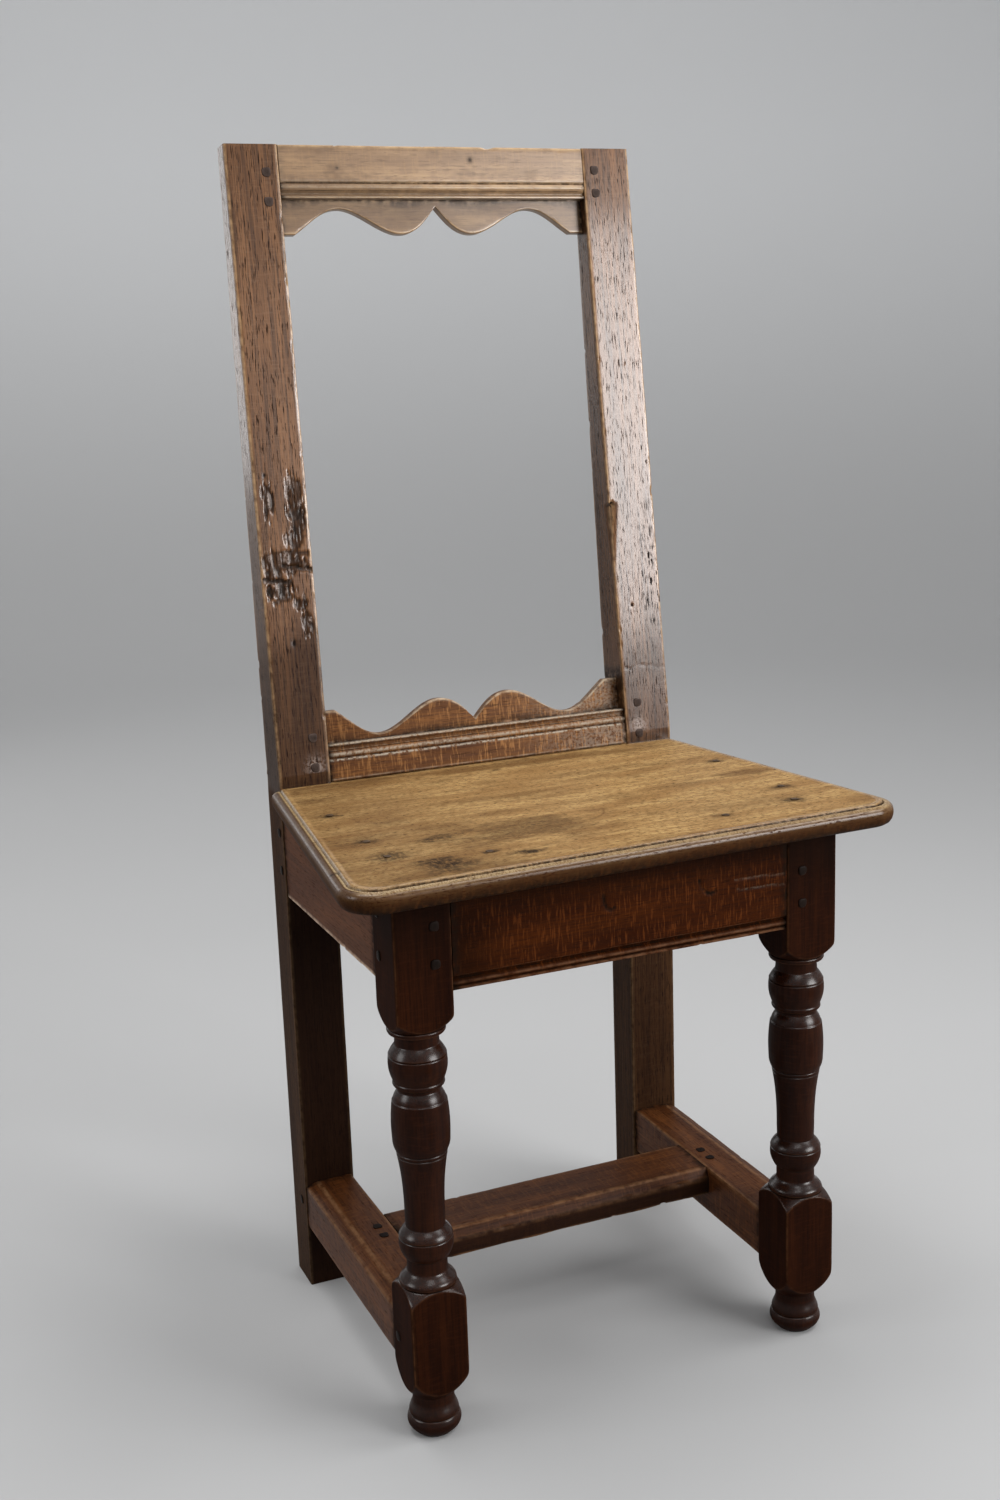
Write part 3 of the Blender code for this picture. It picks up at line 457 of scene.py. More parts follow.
# %% [markdown]
# ## Scalloped rails of the back
# The crest and the lower rail are cut from one pattern: a plain band, a run moulding of a scored line, a
# bead, a hollow and a fillet, and then a thinner skirt sawn into lobes, arches and a pointed notch. One
# face profile serves both: the crest hangs its skirt down, and the lower rail stands its skirt up. The
# skirt's points slide with the sawn edge, so the same ring shape fits at every station along the rail.

# %% Sawn edge
LOBE, ARCH, CORNER = 0.237, 0.626, 0.914        # shares of the way from the middle to the post


def curve(a, b, c, d, steps=24):
    """Points of a cubic curve."""
    t = np.linspace(0, 1, steps)[:, None]
    a, b, c, d = (np.array(p, float) for p in (a, b, c, d))
    return (1 - t) ** 3 * a + 3 * (1 - t) ** 2 * t * b + 3 * (1 - t) * t * t * c + t ** 3 * d


def sawn_edge(share, cusp, arch):
    """Depth of the cut at shares of the way from the middle to the post."""
    lobe = curve((0, cusp), (LOBE * 0.245, cusp * 0.61), (LOBE * 0.52, 0), (LOBE, 0))
    reach = (ARCH - LOBE) * 0.33
    rising = curve((LOBE, 0), (LOBE + reach, 0), (ARCH - reach, arch), (ARCH, arch))
    reach = (CORNER - ARCH) * 0.38
    falling = curve((ARCH, arch), (ARCH + reach, arch), (CORNER - reach, arch * 0.48), (CORNER, 0))
    points = np.concatenate([lobe, rising, falling, [(1, 0)]])
    return np.interp(np.abs(share), points[:, 0], points[:, 1])


print("a trial cut at the notch, lobe and arch:", sawn_edge(np.array([0, LOBE, ARCH]), 22, 20).round(2))

# %% Moulded face
MOULDING = 12 * MM
BEAD_END = 6 * MM
SCORE = 1.5 * MM
HOLLOW = 2.4 * MM
FILLET = 1.3 * MM
RAIL_ARRIS = 1.3 * MM


def moulded_ring(band, recess, back):
    """A ring of a rail: depth, distance from the plain edge, share of the skirt, wear, dirt with painted
    shade, and dust.
    """
    rows = []

    def run(depth, out, share=0.0, worn=0.0, grime=0.0, dust=0.0):
        """Add a stretch of points, with their facts, to the ring."""
        rows.append(np.stack(np.broadcast_arrays(depth, out, share, worn, grime, dust), -1).reshape(-1, 6))

    quarter = np.linspace(0, math.pi / 2, ARRIS_STEPS)
    t = np.linspace(0, 1, 24)
    skirt = band + MOULDING
    run(RAIL_ARRIS * (1 - np.sin(quarter)), RAIL_ARRIS * (1 - np.cos(quarter)), worn=1)
    plain = RAIL_ARRIS + (band - SCORE - RAIL_ARRIS) * t[1:]
    run(0, plain, worn=near(plain - RAIL_ARRIS, ARRIS_REACH), dust=near(plain - (band - SCORE), 0.8 * MM))
    run(SCORE, band, grime=1)
    bead = np.linspace(0.08, 0.92, 9)
    crown = np.sin(math.pi * bead)
    run(SCORE * (1 - 0.95 * crown), band + BEAD_END * bead, worn=0.6 * crown ** 6, dust=0.7 * crown ** 3)
    run(SCORE * 1.15, band + BEAD_END, grime=1)
    hollow = np.linspace(0.06, 1, 9)
    sunk = np.sin(math.pi * hollow)
    # the hollow: painted shade in its bottom, dust on its lips
    run(SCORE * 0.4 + HOLLOW * sunk, band + BEAD_END + (MOULDING - BEAD_END - FILLET) * hollow,
        grime=0.35 * sunk, dust=0.4 * (1 - sunk))
    run(SCORE * 0.4, skirt - FILLET * np.array([0.75, 0.35, 0.12]), worn=np.array([0.3, 0.8, 1]), dust=0.8)
    run(SCORE * 0.4 + np.array([0.25, 0.9]) * MM, skirt, worn=np.array([0.9, 0.3]), dust=0.9)
    # the step back to the skirt: painted shadow deepening into the corner, dust on its ledge
    run(SCORE + (recess - SCORE) * np.array([0.35, 0.7, 1.0]), skirt, grime=np.array([0.1, 0.4, 0.9]),
        dust=np.array([0.9, 0.7, 0.3]))
    down = t[2:-2]
    # painted shadow on the skirt just below the moulding
    run(recess, skirt * (1 - down), down, worn=near(1 - down, 0.06), grime=0.7 * near(down, 0.22))
    run(recess + RAIL_ARRIS * (1 - np.cos(quarter)), -RAIL_ARRIS * (1 - np.sin(quarter)), 1, worn=1)
    thick = np.linspace(0, 1, 7)[1:-1]
    run(recess + RAIL_ARRIS + (back - recess - 2 * RAIL_ARRIS) * thick, 0, 1, worn=0.25)
    run(back - RAIL_ARRIS * (1 - np.sin(quarter)), -RAIL_ARRIS * (1 - np.cos(quarter)), 1, worn=0.8)
    up = 1 - t[1:-1]
    run(back, RAIL_ARRIS * (1 - up), up, worn=0)
    run(back - RAIL_ARRIS * (1 - np.cos(quarter)), RAIL_ARRIS * (1 - np.sin(quarter)), worn=0.8)
    run(RAIL_ARRIS + (back - 2 * RAIL_ARRIS) * (1 - thick), 0, worn=0.2)
    return np.concatenate(rows).T


print("points round a moulded rail:", moulded_ring(30 * MM, 10 * MM, 18 * MM).shape[1])

# %% Make both rails
RAIL_STATIONS = 116
TOP_NICK = 49 * MM
MOULDING_CHIP = 9 * MM
CREST_SPOTS = ((31.6, 504.6, 2.6), (117.5, 483.4, 1.5), (-88.0, 497.0, 1.4))   # across, rise, radius
LOWER_FOOT = (SEAT_TOP + GAP - KNEE) / math.cos(LEAN)


def scalloped_rail(node, edge, way, setback, back, height, band, recess, cusp, arch, seed):
    """A rail from its plain edge (up the back) to its sawn edge, running up (1) or down (-1)."""
    depth, fixed, slide, worn, grime, dust = moulded_ring(band, recess, back)
    share = np.linspace(-1, 1, 2 * RAIL_STATIONS + 1)
    reach = height - sawn_edge(share, cusp, arch)
    out = fixed + slide * reach[:, None]
    level = math.tan(LEAN) * depth * ramp(-out, -5 * MM, 0) if way > 0 else 0
    rise = edge + way * out + level
    across = share[:, None] * (half_between_posts(rise) - GAP)
    rings = on_back(across, setback + depth, rise)
    ends = near((1 - np.abs(share[:, None])) * OUTER, 5 * MM)
    on_band = (fixed < band - SCORE / 2) & (slide == 0)
    sawn = (slide == 1) & (depth > recess)
    at_foot = (fixed < 2 * MM) & (slide == 0)
    smudge = cloud(rings, (45 * MM, 30 * MM, 14 * MM), seed)
    plank = np.stack(np.broadcast_arrays(across, out, depth), -1) + seed * SEED_STEP * MM
    if way < 0:
        # the crest is darker towards the left in painted shade, with blots on its band, painted shade on its
        # sawn edge and a chip in its moulding
        chip = near(across - MOULDING_CHIP, 4 * MM) * near(fixed - band - MOULDING, 1.2 * MM)
        dust = 0.3 * dust + chip * (slide == 0)
        worn = np.where(sawn, 0.35, worn) * np.ones_like(across)
        grime = np.maximum(grime, ends * np.where(on_band, 0.25, 1.0))
        for x, up_back, wide in CREST_SPOTS:
            spot = near(np.hypot(across - x * MM, rise - up_back * MM), wide * MM) * on_band
            grime = np.maximum(grime, spot)
        left_end = 0.5 + 0.5 * ramp(-across, -60 * MM, 90 * MM)
        on_moulding = (slide == 0) & (fixed >= band - SCORE / 2) & (depth < recess)
        blots = cloud(rings, (15 * MM, 20 * MM, 6 * MM), seed + 5)
        blots = blots + 0.5 * cloud(rings, (5 * MM, 9 * MM, 3 * MM), seed)
        shade = 0.55 * ramp(smudge, 0.0, 0.75) * left_end + (0.12 + 0.16 * left_end) * ramp(blots, 0.1, 0.9)
        # painted shade towards the left end on the band and moulding, and on the sawn edge
        shade = shade + 0.14 * ramp(-across, 0, 120 * MM)
        shade = np.maximum(shade * on_band, 0.45 * sawn)
        shade = np.maximum(shade, on_moulding * 0.5 * ramp(-across, -60 * MM, 90 * MM))
        on_skirt = (slide > 0) & (slide < 1) & (depth < recess + 1 * MM)
        shade = np.maximum(shade, on_skirt * (0.40 + 0.25 * smudge))
        nick = 1.6 * MM * near((across - TOP_NICK) / (6 * MM), 1) ** 2 * at_foot
    else:
        # the lower rail has painted shade towards the left and a painted sheen, in the dust colour, towards
        # the right
        worn = np.where(at_foot, 0.1, worn) * np.ones_like(across)
        grime = np.maximum(np.maximum(grime, ends), 0.6 * at_foot)
        shade = 0.45 * ramp(smudge, 0.1, 0.8) + 0.26 * ramp(-across, -10 * MM, 120 * MM)
        shade = np.maximum(shade, 0.5 * (sawn & (depth > recess + RAIL_ARRIS)))
        dust = np.maximum(dust, 0.30 * ramp(across, 20 * MM, 130 * MM))
        nick = 0 * across
    way_out = outward(rings)
    rings = weather(rings, worn, seed, 0.25 * MM, 0.08 * MM) - way_out * nick[..., None]
    edge_matt = 0.85 * ((fixed < RAIL_ARRIS / 2) & (slide == 0))
    return timber(node, rings, plank, "oak_back", worn=worn, grime=grime, dust=dust, shade=shade,
                  matt=edge_matt)


crest = scalloped_rail("crest_rail", CREST_TOP, -1, 0, POST_TOP_DEPTH - 2 * GAP, 70.5 * MM, 30.5 * MM,
                       9.5 * MM, 22.5 * MM, 20.7 * MM, 31)
lower = scalloped_rail("lower_back_rail", LOWER_FOOT, 1, 1.5 * MM, 20.5 * MM, 60 * MM, 20 * MM,
                       11 * MM, 21.2 * MM, 24 * MM, 32)
print("rails:", len(crest.data.vertices), "and", len(lower.data.vertices), "vertices")

# %% [markdown]
# ## Seat board
# The seat is one board, wider in front, with a thumb moulding on three edges: a scored quirk, a narrow
# step and a rounded nose. Its rings are the board's outline drawn in by growing amounts, so the moulding
# follows the corners without a seam. Behind the posts' faces a plain tongue runs on between the posts.
# The top tells of use: stains that follow the grain, dark rings round the plugs and two scratches. Those
# are darker or dirtier wood and hardly a shape, so they are kept as facts on the vertices.

# %% Seat outline
SIDE_OVERHANG = {"rear": 8 * MM, "front": 48.5 * MM}
FRONT_OVERHANG = {"left": 47.5 * MM, "right": 30 * MM}
SEAT_CORNER = 28 * MM
TONGUE_END = POST_FRONT + POST_DEPTH - 6.5 * MM
EDGE_COUNTS = {"side": 70, "corner": 16, "front": 130, "rear": 14, "tongue": 8, "end": 60}


def crossing(p, along_p, q, along_q):
    """Where two lines in the plane meet."""
    turn = along_p[0] * along_q[1] - along_p[1] * along_q[0]
    t = ((q[0] - p[0]) * along_q[1] - (q[1] - p[1]) * along_q[0]) / turn
    return p + along_p * t


def seat_outline(inset):
    """The board's outline drawn in by an inset, and which of its points belong to the plain rear."""
    rear = POST_FRONT - GAP
    corners = np.array([(-OUTER - SIDE_OVERHANG["rear"], rear),
                        (-OUTER - SIDE_OVERHANG["front"], FRONT - FRONT_OVERHANG["left"]),
                        (OUTER + SIDE_OVERHANG["front"], FRONT - FRONT_OVERHANG["right"]),
                        (OUTER + SIDE_OVERHANG["rear"], rear)])
    ways = corners[1:] - corners[:-1]
    ways /= np.linalg.norm(ways, axis=1, keepdims=True)
    shifted = corners[:-1] + np.stack([-ways[:, 1], ways[:, 0]], -1) * inset
    level = np.array([1.0, 0.0])
    first = crossing(shifted[0], ways[0], corners[0], level)
    left = crossing(shifted[0], ways[0], shifted[1], ways[1])
    right = crossing(shifted[1], ways[1], shifted[2], ways[2])
    last = crossing(shifted[2], ways[2], corners[3], level)
    radius = SEAT_CORNER - inset

    def bend(corner, come, go):
        """Points round a corner of the outline."""
        half = math.acos(float(np.clip(-come @ go, -1, 1))) / 2
        run = radius / math.tan(half)
        centre = corner + (go - come) / np.linalg.norm(go - come) * radius / math.sin(half)
        start = corner - come * run - centre
        turns = np.linspace(0, math.pi - 2 * half, EDGE_COUNTS["corner"])
        return np.stack([centre[0] + start[0] * np.cos(turns) - start[1] * np.sin(turns),
                         centre[1] + start[0] * np.sin(turns) + start[1] * np.cos(turns)], -1)

    def straight_run(a, b, count):
        """Points from one place towards another, which is left for the next stretch."""
        return a + (b - a) * np.linspace(0, 1, count, endpoint=False)[:, None]

    left_bend = bend(left, ways[0], ways[1])
    right_bend = bend(right, ways[1], ways[2])
    tongue = OUTER - POST_WIDTH - GAP
    inside = [(tongue, rear), (tongue, TONGUE_END), (-tongue, TONGUE_END), (-tongue, rear)]
    stops = [last] + [np.array(point) for point in inside] + [first]
    counts = [EDGE_COUNTS[k] for k in ("rear", "tongue", "end", "tongue", "rear")]
    moulded = [straight_run(first, left_bend[0], EDGE_COUNTS["side"]), left_bend[:-1],
               straight_run(left_bend[-1], right_bend[0], EDGE_COUNTS["front"]), right_bend[:-1],
               straight_run(right_bend[-1], last, EDGE_COUNTS["side"])]
    plain = [straight_run(a, b, n) for a, b, n in zip(stops, stops[1:], counts)]
    points = np.concatenate(moulded + plain)
    is_rear = np.zeros(len(points))
    is_rear[sum(map(len, moulded)):] = 1
    return points, is_rear


print("points round the seat:", len(seat_outline(0)[0]))

# %% Stains on the top
STAINS = (                      # across, from the legs' front faces, half width, half depth, strength
    (-122, 62, 26, 9, 0.80), (-146, -5, 24, 19, 0.90), (-80, -5.5, 14, 6, 0.92), (-173, 35, 18, 13, 0.74),
    (-62, 52, 62, 30, 0.60), (-192, 110, 14, 70, 0.36), (-130, 258, 60, 14, 0.50), (20, 252, 140, 13, 0.45),
    (-2, 238, 6, 3, 0.7), (171, 120, 26, 9, 0.46), (120, 30, 60, 16, 0.26), (-150, 30, 80, 70, 0.22),
    (-30, 150, 40, 9, 0.30), (60, 190, 50, 8, 0.28), (-120, 180, 45, 9, 0.30), (110, 110, 34, 7, 0.30),
)
SCRATCHES = (                   # ends on the top (across, back) and a sag
    ((-17.5, 49.4), (19.6, 75.7), 6.0), ((38, 82), (90, 62), -2.0),
)
PLUG_STAIN = (11 * MM, 7 * MM)      # half width and half depth of the ring round a plug
SCRATCH_WIDTH = 1.1 * MM


def seat_shade(rings):
    """How dark and how dirty the top of the seat is: stains, iron marks at the plugs, scratches."""
    x = rings[..., 0]
    y = rings[..., 1] - FRONT
    uneven = 0.35 * cloud(rings, (30 * MM, 9 * MM, 1), 3) + 0.35 * cloud(rings, (9 * MM, 4 * MM, 1), 6)
    shade = 0.28 * ramp(cloud(rings, (38 * MM, 16 * MM, 1), 12) + uneven, 0.1, 1.0)
    shade = shade + 0.30 * ramp(-x, 40 * MM, 170 * MM) + 0.04 * ramp(-y, -90 * MM, 0)
    dirt = np.zeros_like(x)
    for across, back, wide, deep, strength in STAINS:
        away = np.hypot((x - across * MM) / (wide * MM), (y - back * MM) / (deep * MM))
        patch = strength * ramp(1.3 - away + uneven, 0, 0.85)
        dirt = np.maximum(dirt, 0.95 * patch * ramp(strength, 0.5, 0.75))
        shade = np.maximum(shade, patch * (1 - 0.5 * ramp(strength, 0.5, 0.75)))
    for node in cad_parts:
        if node.startswith("seat_peg"):
            low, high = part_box(node)
            off_x = x - (low.x + high.x) / 2
            off_y = rings[..., 1] - (low.y + high.y) / 2
            away = np.hypot(off_x / PLUG_STAIN[0], off_y / PLUG_STAIN[1])
            mark = ramp(1.25 - away + uneven, 0, 1.0)
            shade = np.maximum(shade, 0.45 * mark)
            dirt = np.maximum(dirt, 0.8 * mark)
    for (x0, y0), (x1, y1), sag in SCRATCHES:
        for t in np.linspace(0, 1, 50):
            off_x = x - (x0 + (x1 - x0) * t + sag * math.sin(math.pi * t)) * MM
            off_y = y - (y0 + (y1 - y0) * t - sag * math.sin(math.pi * t)) * MM
            shade = np.maximum(shade, 0.55 * near(np.hypot(off_x, off_y), SCRATCH_WIDTH))
    return shade, dirt


print(len(STAINS), "stains and", len(SCRATCHES), "scratches on the seat")

# %% Make the seat
# Low on the nose the dirt and darkening are painted shade where it turns under the board, and on the top of
# the roll the dust paints glints.
NOSE = (                        # inset from the outline, drop from the top, wear, dirt and shade, dust and glints, darkening
    (8.5, 18.0, 0.0, 1.0, 0.0, 1.0), (5.0, 17.5, 0.0, 0.9, 0.0, 1.0), (2.4, 15.9, 0.0, 0.8, 0.0, 1.0),
    (0.9, 13.6, 0.0, 0.65, 0.0, 1.0), (0.2, 11.2, 0.0, 0.45, 0.0, 1.0), (0.0, 8.8, 0.0, 0.25, 0.0, 0.97),
    (0.15, 6.8, 0.0, 0.2, 0.0, 0.92), (0.6, 5.1, 0.0, 0.0, 0.0, 0.86), (1.3, 3.8, 0.0, 0.0, 0.0, 0.80),
    (2.2, 2.9, 0.0, 0.0, 0.1, 0.70), (3.2, 2.3, 0.0, 0.0, 0.4, 0.60), (4.4, 1.9, 0.0, 0.0, 0.5, 0.50),
    (5.3, 1.70, 0.0, 0.0, 0.4, 0.45), (5.9, 1.62, 0.0, 0.0, 0.6, 0.38), (6.5, 1.60, 0.0, 0.0, 0.8, 0.3),
    (7.2, 1.70, 0.0, 0.0, 0.8, 0.2), (7.6, 2.60, 0.0, 0.4, 0.7, 0.4), (8.05, 2.4, 0.0, 0.9, 0.4, 0.6),
    (8.5, 1.2, 0.0, 0.8, 0.4, 0.6), (8.95, 0.3, 0.4, 0.3, 0.3, 0.3), (9.5, 0.0, 0.3, 0.0, 0.1, 0.15),
)
NOSE_WIDTH = 8.5 * MM
ROLL_INSET = 5.8
SEAT_MIDDLE = np.array([0.0, FRONT + 120 * MM])
UNDER_SHARES = (0.15, 0.45, 0.8, 0.93)
TOP_RINGS = 88
LEFT_SPLIT = 17 * MM
SEAT_MATT = 0.95
GRAIN_SHORTER = (2.2, 1.0, 1.0)     # the seat's figure is shorter along the grain


def make_seat(seed):
    """Rings from under the board out to its edge, up the moulding and in over the top."""
    rings = []
    facts = []
    first, _ = seat_outline(NOSE_WIDTH)
    for share in UNDER_SHARES:
        spot = SEAT_MIDDLE + (first - SEAT_MIDDLE) * share
        rings.append(np.column_stack([spot, np.full(len(spot), SEAT_UNDER)]))
        # the underside is in painted shade: dirt and full darkening
        facts.append(np.tile((0, 0.4, 0, 1.0, 0), (len(spot), 1)))
    for number, (inset, drop, worn, grime, dust, shade) in enumerate(NOSE):
        spot, is_rear = seat_outline(inset * MM)
        even = (SEAT_TOP - SEAT_UNDER) * number / (len(NOSE) - 1)
        height = np.where(is_rear > 0, SEAT_UNDER + even, SEAT_TOP - drop * MM)
        rings.append(np.column_stack([spot, height]))
        facts.append(np.tile((worn, grime, dust, shade, inset < ROLL_INSET), (len(spot), 1)))
    top, _ = seat_outline(NOSE[-1][0] * MM)
    shares = np.concatenate([[0.996, 0.988], np.linspace(0.978, 0.02, TOP_RINGS)])
    for share in shares:
        spot = SEAT_MIDDLE + (top - SEAT_MIDDLE) * share
        rings.append(np.column_stack([spot, np.full(len(spot), SEAT_TOP)]))
        facts.append(np.zeros((len(spot), 5)))
    rings = np.array(rings)
    worn, grime, dust, shade, roll = np.moveaxis(np.array(facts, float), -1, 0).copy()
    run = np.roll(rings, -1, 1) - np.roll(rings, 1, 1)
    on_left = ramp(-run[..., 1] / np.maximum(np.linalg.norm(run, axis=-1), 1e-9), 0.5, 0.9)
    split = near(rings[..., 1] - FRONT - LEFT_SPLIT, 0.8 * MM) * on_left * (dust > 0.05)
    dust = dust * (0.75 + 0.25 * ramp(-rings[..., 0], -0.06, 0.12)) * np.where(grime > 0.6, on_left, 1)
    dust = dust * (1 - roll * on_left)
    shade = np.maximum(shade, 0.90 * roll * on_left)
    grime = np.maximum(grime * (1 - 0.9 * on_left * (1 - roll)), split)
    is_top = (np.arange(len(rings)) >= len(rings) - TOP_RINGS)[:, None]
    top_shade, top_dirt = seat_shade(rings)
    shade = np.where(is_top, top_shade, shade)
    grime = np.where(is_top, top_dirt, grime)
    matt = np.where(is_top, ramp(shade, 0.25, 0.8), ramp(SEAT_TOP - rings[..., 2], 3.5 * MM, 7 * MM))
    matt = np.maximum(matt, np.where(is_top, SEAT_MATT, 0.35 * on_left))
    settle = np.where(is_top, 0.3 * MM * (cloud(rings, (120 * MM, 70 * MM, 1), seed) - 1), 0)
    plank = rings * GRAIN_SHORTER + seed * SEED_STEP * MM
    rings = weather(rings, worn, seed, 0.35 * MM, 0.05 * MM)
    rings[..., 2] += settle
    return timber("seat_board", rings, plank, "oak_seat", worn=worn, grime=grime, dust=dust, shade=shade,
                  matt=matt)


seat = make_seat(41)
print(seat.name, len(seat.data.vertices), "vertices")

# %% [markdown]
# ## Turned front legs
# A turner leaves square blocks where rails join and turns the wood between them. The rings follow that:
# at each height the radius is the smaller of the turned profile and the square stock, which draws the
# round shoulders of the blocks by itself. The profile is written as a turner's rod, from the floor up.

# %% Turning profile
SQUARE = "square"
ROD = (                         # kind of stretch, height and radius at its end, bulge; millimetres
    ("line", 0.0, 14.5, 0), ("bulge", 14.8, 19.6, 3.6), ("line", 15.5, 18.4, 0), ("line", 16.2, 19.4, 0),
    ("ogee", 28.0, 16.2, 0), ("line", 33.0, 16.2, 0), ("bulge", 60.0, 33.0, 3.4),
    (SQUARE, 109.5, 33.0, 0), ("bulge", 125.0, 22.4, 2.8), ("line", 125.7, 20.8, 0),
    ("line", 126.4, 22.3, 0), ("line", 127.4, 22.1, 0), ("ogee", 137.0, 15.6, 0),
    ("line", 146.4, 15.5, 0), ("line", 147.2, 17.2, 0), ("bulge", 162.4, 20.6, 1.6),
    ("line", 163.1, 19.8, 0), ("line", 163.8, 20.7, 0), ("bulge", 171.0, 15.8, 0.8),
    ("line", 171.6, 15.1, 0), ("line", 182.0, 15.3, 0), ("hollow", 228.2, 18.8, 0),
    ("line", 229.2, 19.1, 0), ("line", 229.8, 18.5, 0), ("line", 230.5, 19.2, 0),
    ("line", 232.2, 19.5, 0), ("line", 232.9, 18.9, 0), ("line", 233.6, 19.8, 0),
    ("bulge", 242.5, 21.9, 0.6), ("bulge", 273.0, 20.9, 0.8), ("line", 273.6, 20.3, 0),
    ("bulge", 281.5, 16.4, 0.5), ("line", 284.0, 16.0, 0), ("line", 284.8, 18.6, 0),
    ("bulge", 288.0, 19.6, 0.5), ("line", 288.8, 19.1, 0), ("bulge", 308.0, 22.0, 1.5),
    ("line", 308.8, 21.0, 0), ("line", 309.6, 22.0, 0), ("bulge", 317.6, 16.8, 0.4),
    ("line", 326.4, 16.2, 0), ("line", 327.0, 21.3, 0), ("bulge", 330.2, 22.0, 0.4),
    ("line", 331.0, 20.9, 0), ("line", 331.8, 22.2, 0), ("bulge", 348.0, 33.0, 2.6),
    (SQUARE, 439.7, 33.0, 0),
)
TURNED_STEP = 0.6
BLOCK_STEP = 3.0


def turned_profile():
    """Heights and radii up the leg, in metres, close together where the wood is turned."""
    height, radius = [ROD[0][1]], [ROD[0][2]]
    for kind, top, end, bulge in ROD[1:]:
        step = BLOCK_STEP if kind == SQUARE else TURNED_STEP
        t = np.linspace(0, 1, max(2, int(math.ceil((top - height[-1]) / step)) + 1))[1:]
        rise = {"ogee": (1 - np.cos(math.pi * t)) / 2, "hollow": t ** 2.4}.get(kind, t)
        height0, radius0 = height[-1], radius[-1]
        radius.extend(radius0 + (end - radius0) * rise + bulge * np.sin(math.pi * t))
        height.extend(height0 + (top - height0) * t)
    return np.array(height) * MM, np.array(radius) * MM


print("a leg has", len(turned_profile()[0]), "rings from", len(ROD), "stretches of the rod")

# %% Leg rings
SIDE_POINTS = 34
CORNER_POWER = 34
CREASE = 0.9 * MM


def front_leg(word, side, seed):
    """A leg: the turned profile cut into square stock, dirty in its creases and polished on its swells."""
    height, radius = turned_profile()
    steps = np.linspace(-1, 1, SIDE_POINTS, endpoint=False)
    turn = np.concatenate([np.arctan(steps) + math.pi / 2 * quarter for quarter in range(4)])
    square = LEG_SIZE / 2 * squarish(turn, CORNER_POWER)
    gap = radius[:, None] - square[None, :]
    reach = square[None, :] + 0.5 * (gap - np.sqrt(gap ** 2 + CREASE ** 2))
    centre = (side * (OUTER - LEG_SIZE / 2), FRONT + LEG_SIZE / 2)
    rings = np.stack([centre[0] + reach * np.cos(turn), centre[1] + reach * np.sin(turn),
                      np.broadcast_to(height[:, None], reach.shape)], -1)
    slope = np.gradient(radius, height)
    hollow = np.gradient(np.clip(slope, -2.5, 2.5))
    round_part = ramp(-gap, 0, 0.6 * MM)
    rim = ramp(-hollow, 0.3, 1.2)[:, None] * round_part
    crease = ramp(hollow, 0.3, 1.0)[:, None] * round_part
    corner = near(np.abs(np.abs(steps) - 1) * LEG_SIZE / 2, ARRIS_REACH)
    worn = np.maximum(np.tile(corner, 4)[None, :] * (1 - round_part), 0.7 * rim)
    worn = np.maximum(worn, 0.5 * near(gap, 0.7 * MM) * (np.abs(slope) > 0.2)[:, None])
    grime = np.maximum(crease, near(height - height[-1], 6 * MM)[:, None])
    facing_up = ramp(-slope, 0.1, 0.7)[:, None]
    matt = 1 - round_part * (0.10 + 0.70 * facing_up)
    # painted shade under the seat, darkening the top of the leg
    shade = 0.75 * ramp(height, height[-1] - 75 * MM, height[-1] - 5 * MM)[:, None]
    rings = weather(rings, worn, seed, 0.25 * MM, 0.10 * MM)
    plank = np.stack([rings[..., 2], rings[..., 0] - centre[0], rings[..., 1] - centre[1]], -1)
    plank = plank + seed * SEED_STEP * MM
    return timber(f"front_leg_{word}", rings, plank, "oak_frame", worn=worn, grime=grime, shade=shade,
                  matt=matt)


for word, side, seed in (("left", -1, 51), ("right", 1, 52)):
    leg = front_leg(word, side, seed)
    print(leg.name, len(leg.data.vertices), "vertices")

# %% [markdown]
# ## Seat rails and stretchers
# These are plain planed bars, apart from the front rail, which has a small run moulding along its lower
# edge, and the stretchers, each with a chamfer along one upper arris where feet have rubbed. Each bar is a
# section drawn out between its neighbours, with the joint lines left open by a hair.

# %% Front rail
RAIL_SETBACK = 1 * MM
RAIL_THICK = 22 * MM
RAIL_TOP = SEAT_UNDER - GAP
FRONT_RAIL_DROP = 80 * MM
MOULD = 12 * MM
RAIL_END = OUTER - LEG_SIZE - GAP
HOOKS = (                       # corners of each mark: across, height
    ((-18.5, 413), (-18, 407), (-16, 402.5), (-12, 400.5), (-9, 402.5)),
    ((63, 412), (64.5, 407), (68, 402), (73, 400), (77, 401.5)),
)
SCRIBED = (((94, 408), (139, 406.5)), ((96, 399.6), (139, 398)))
SCRATCH_DEPTH = 0.6 * MM


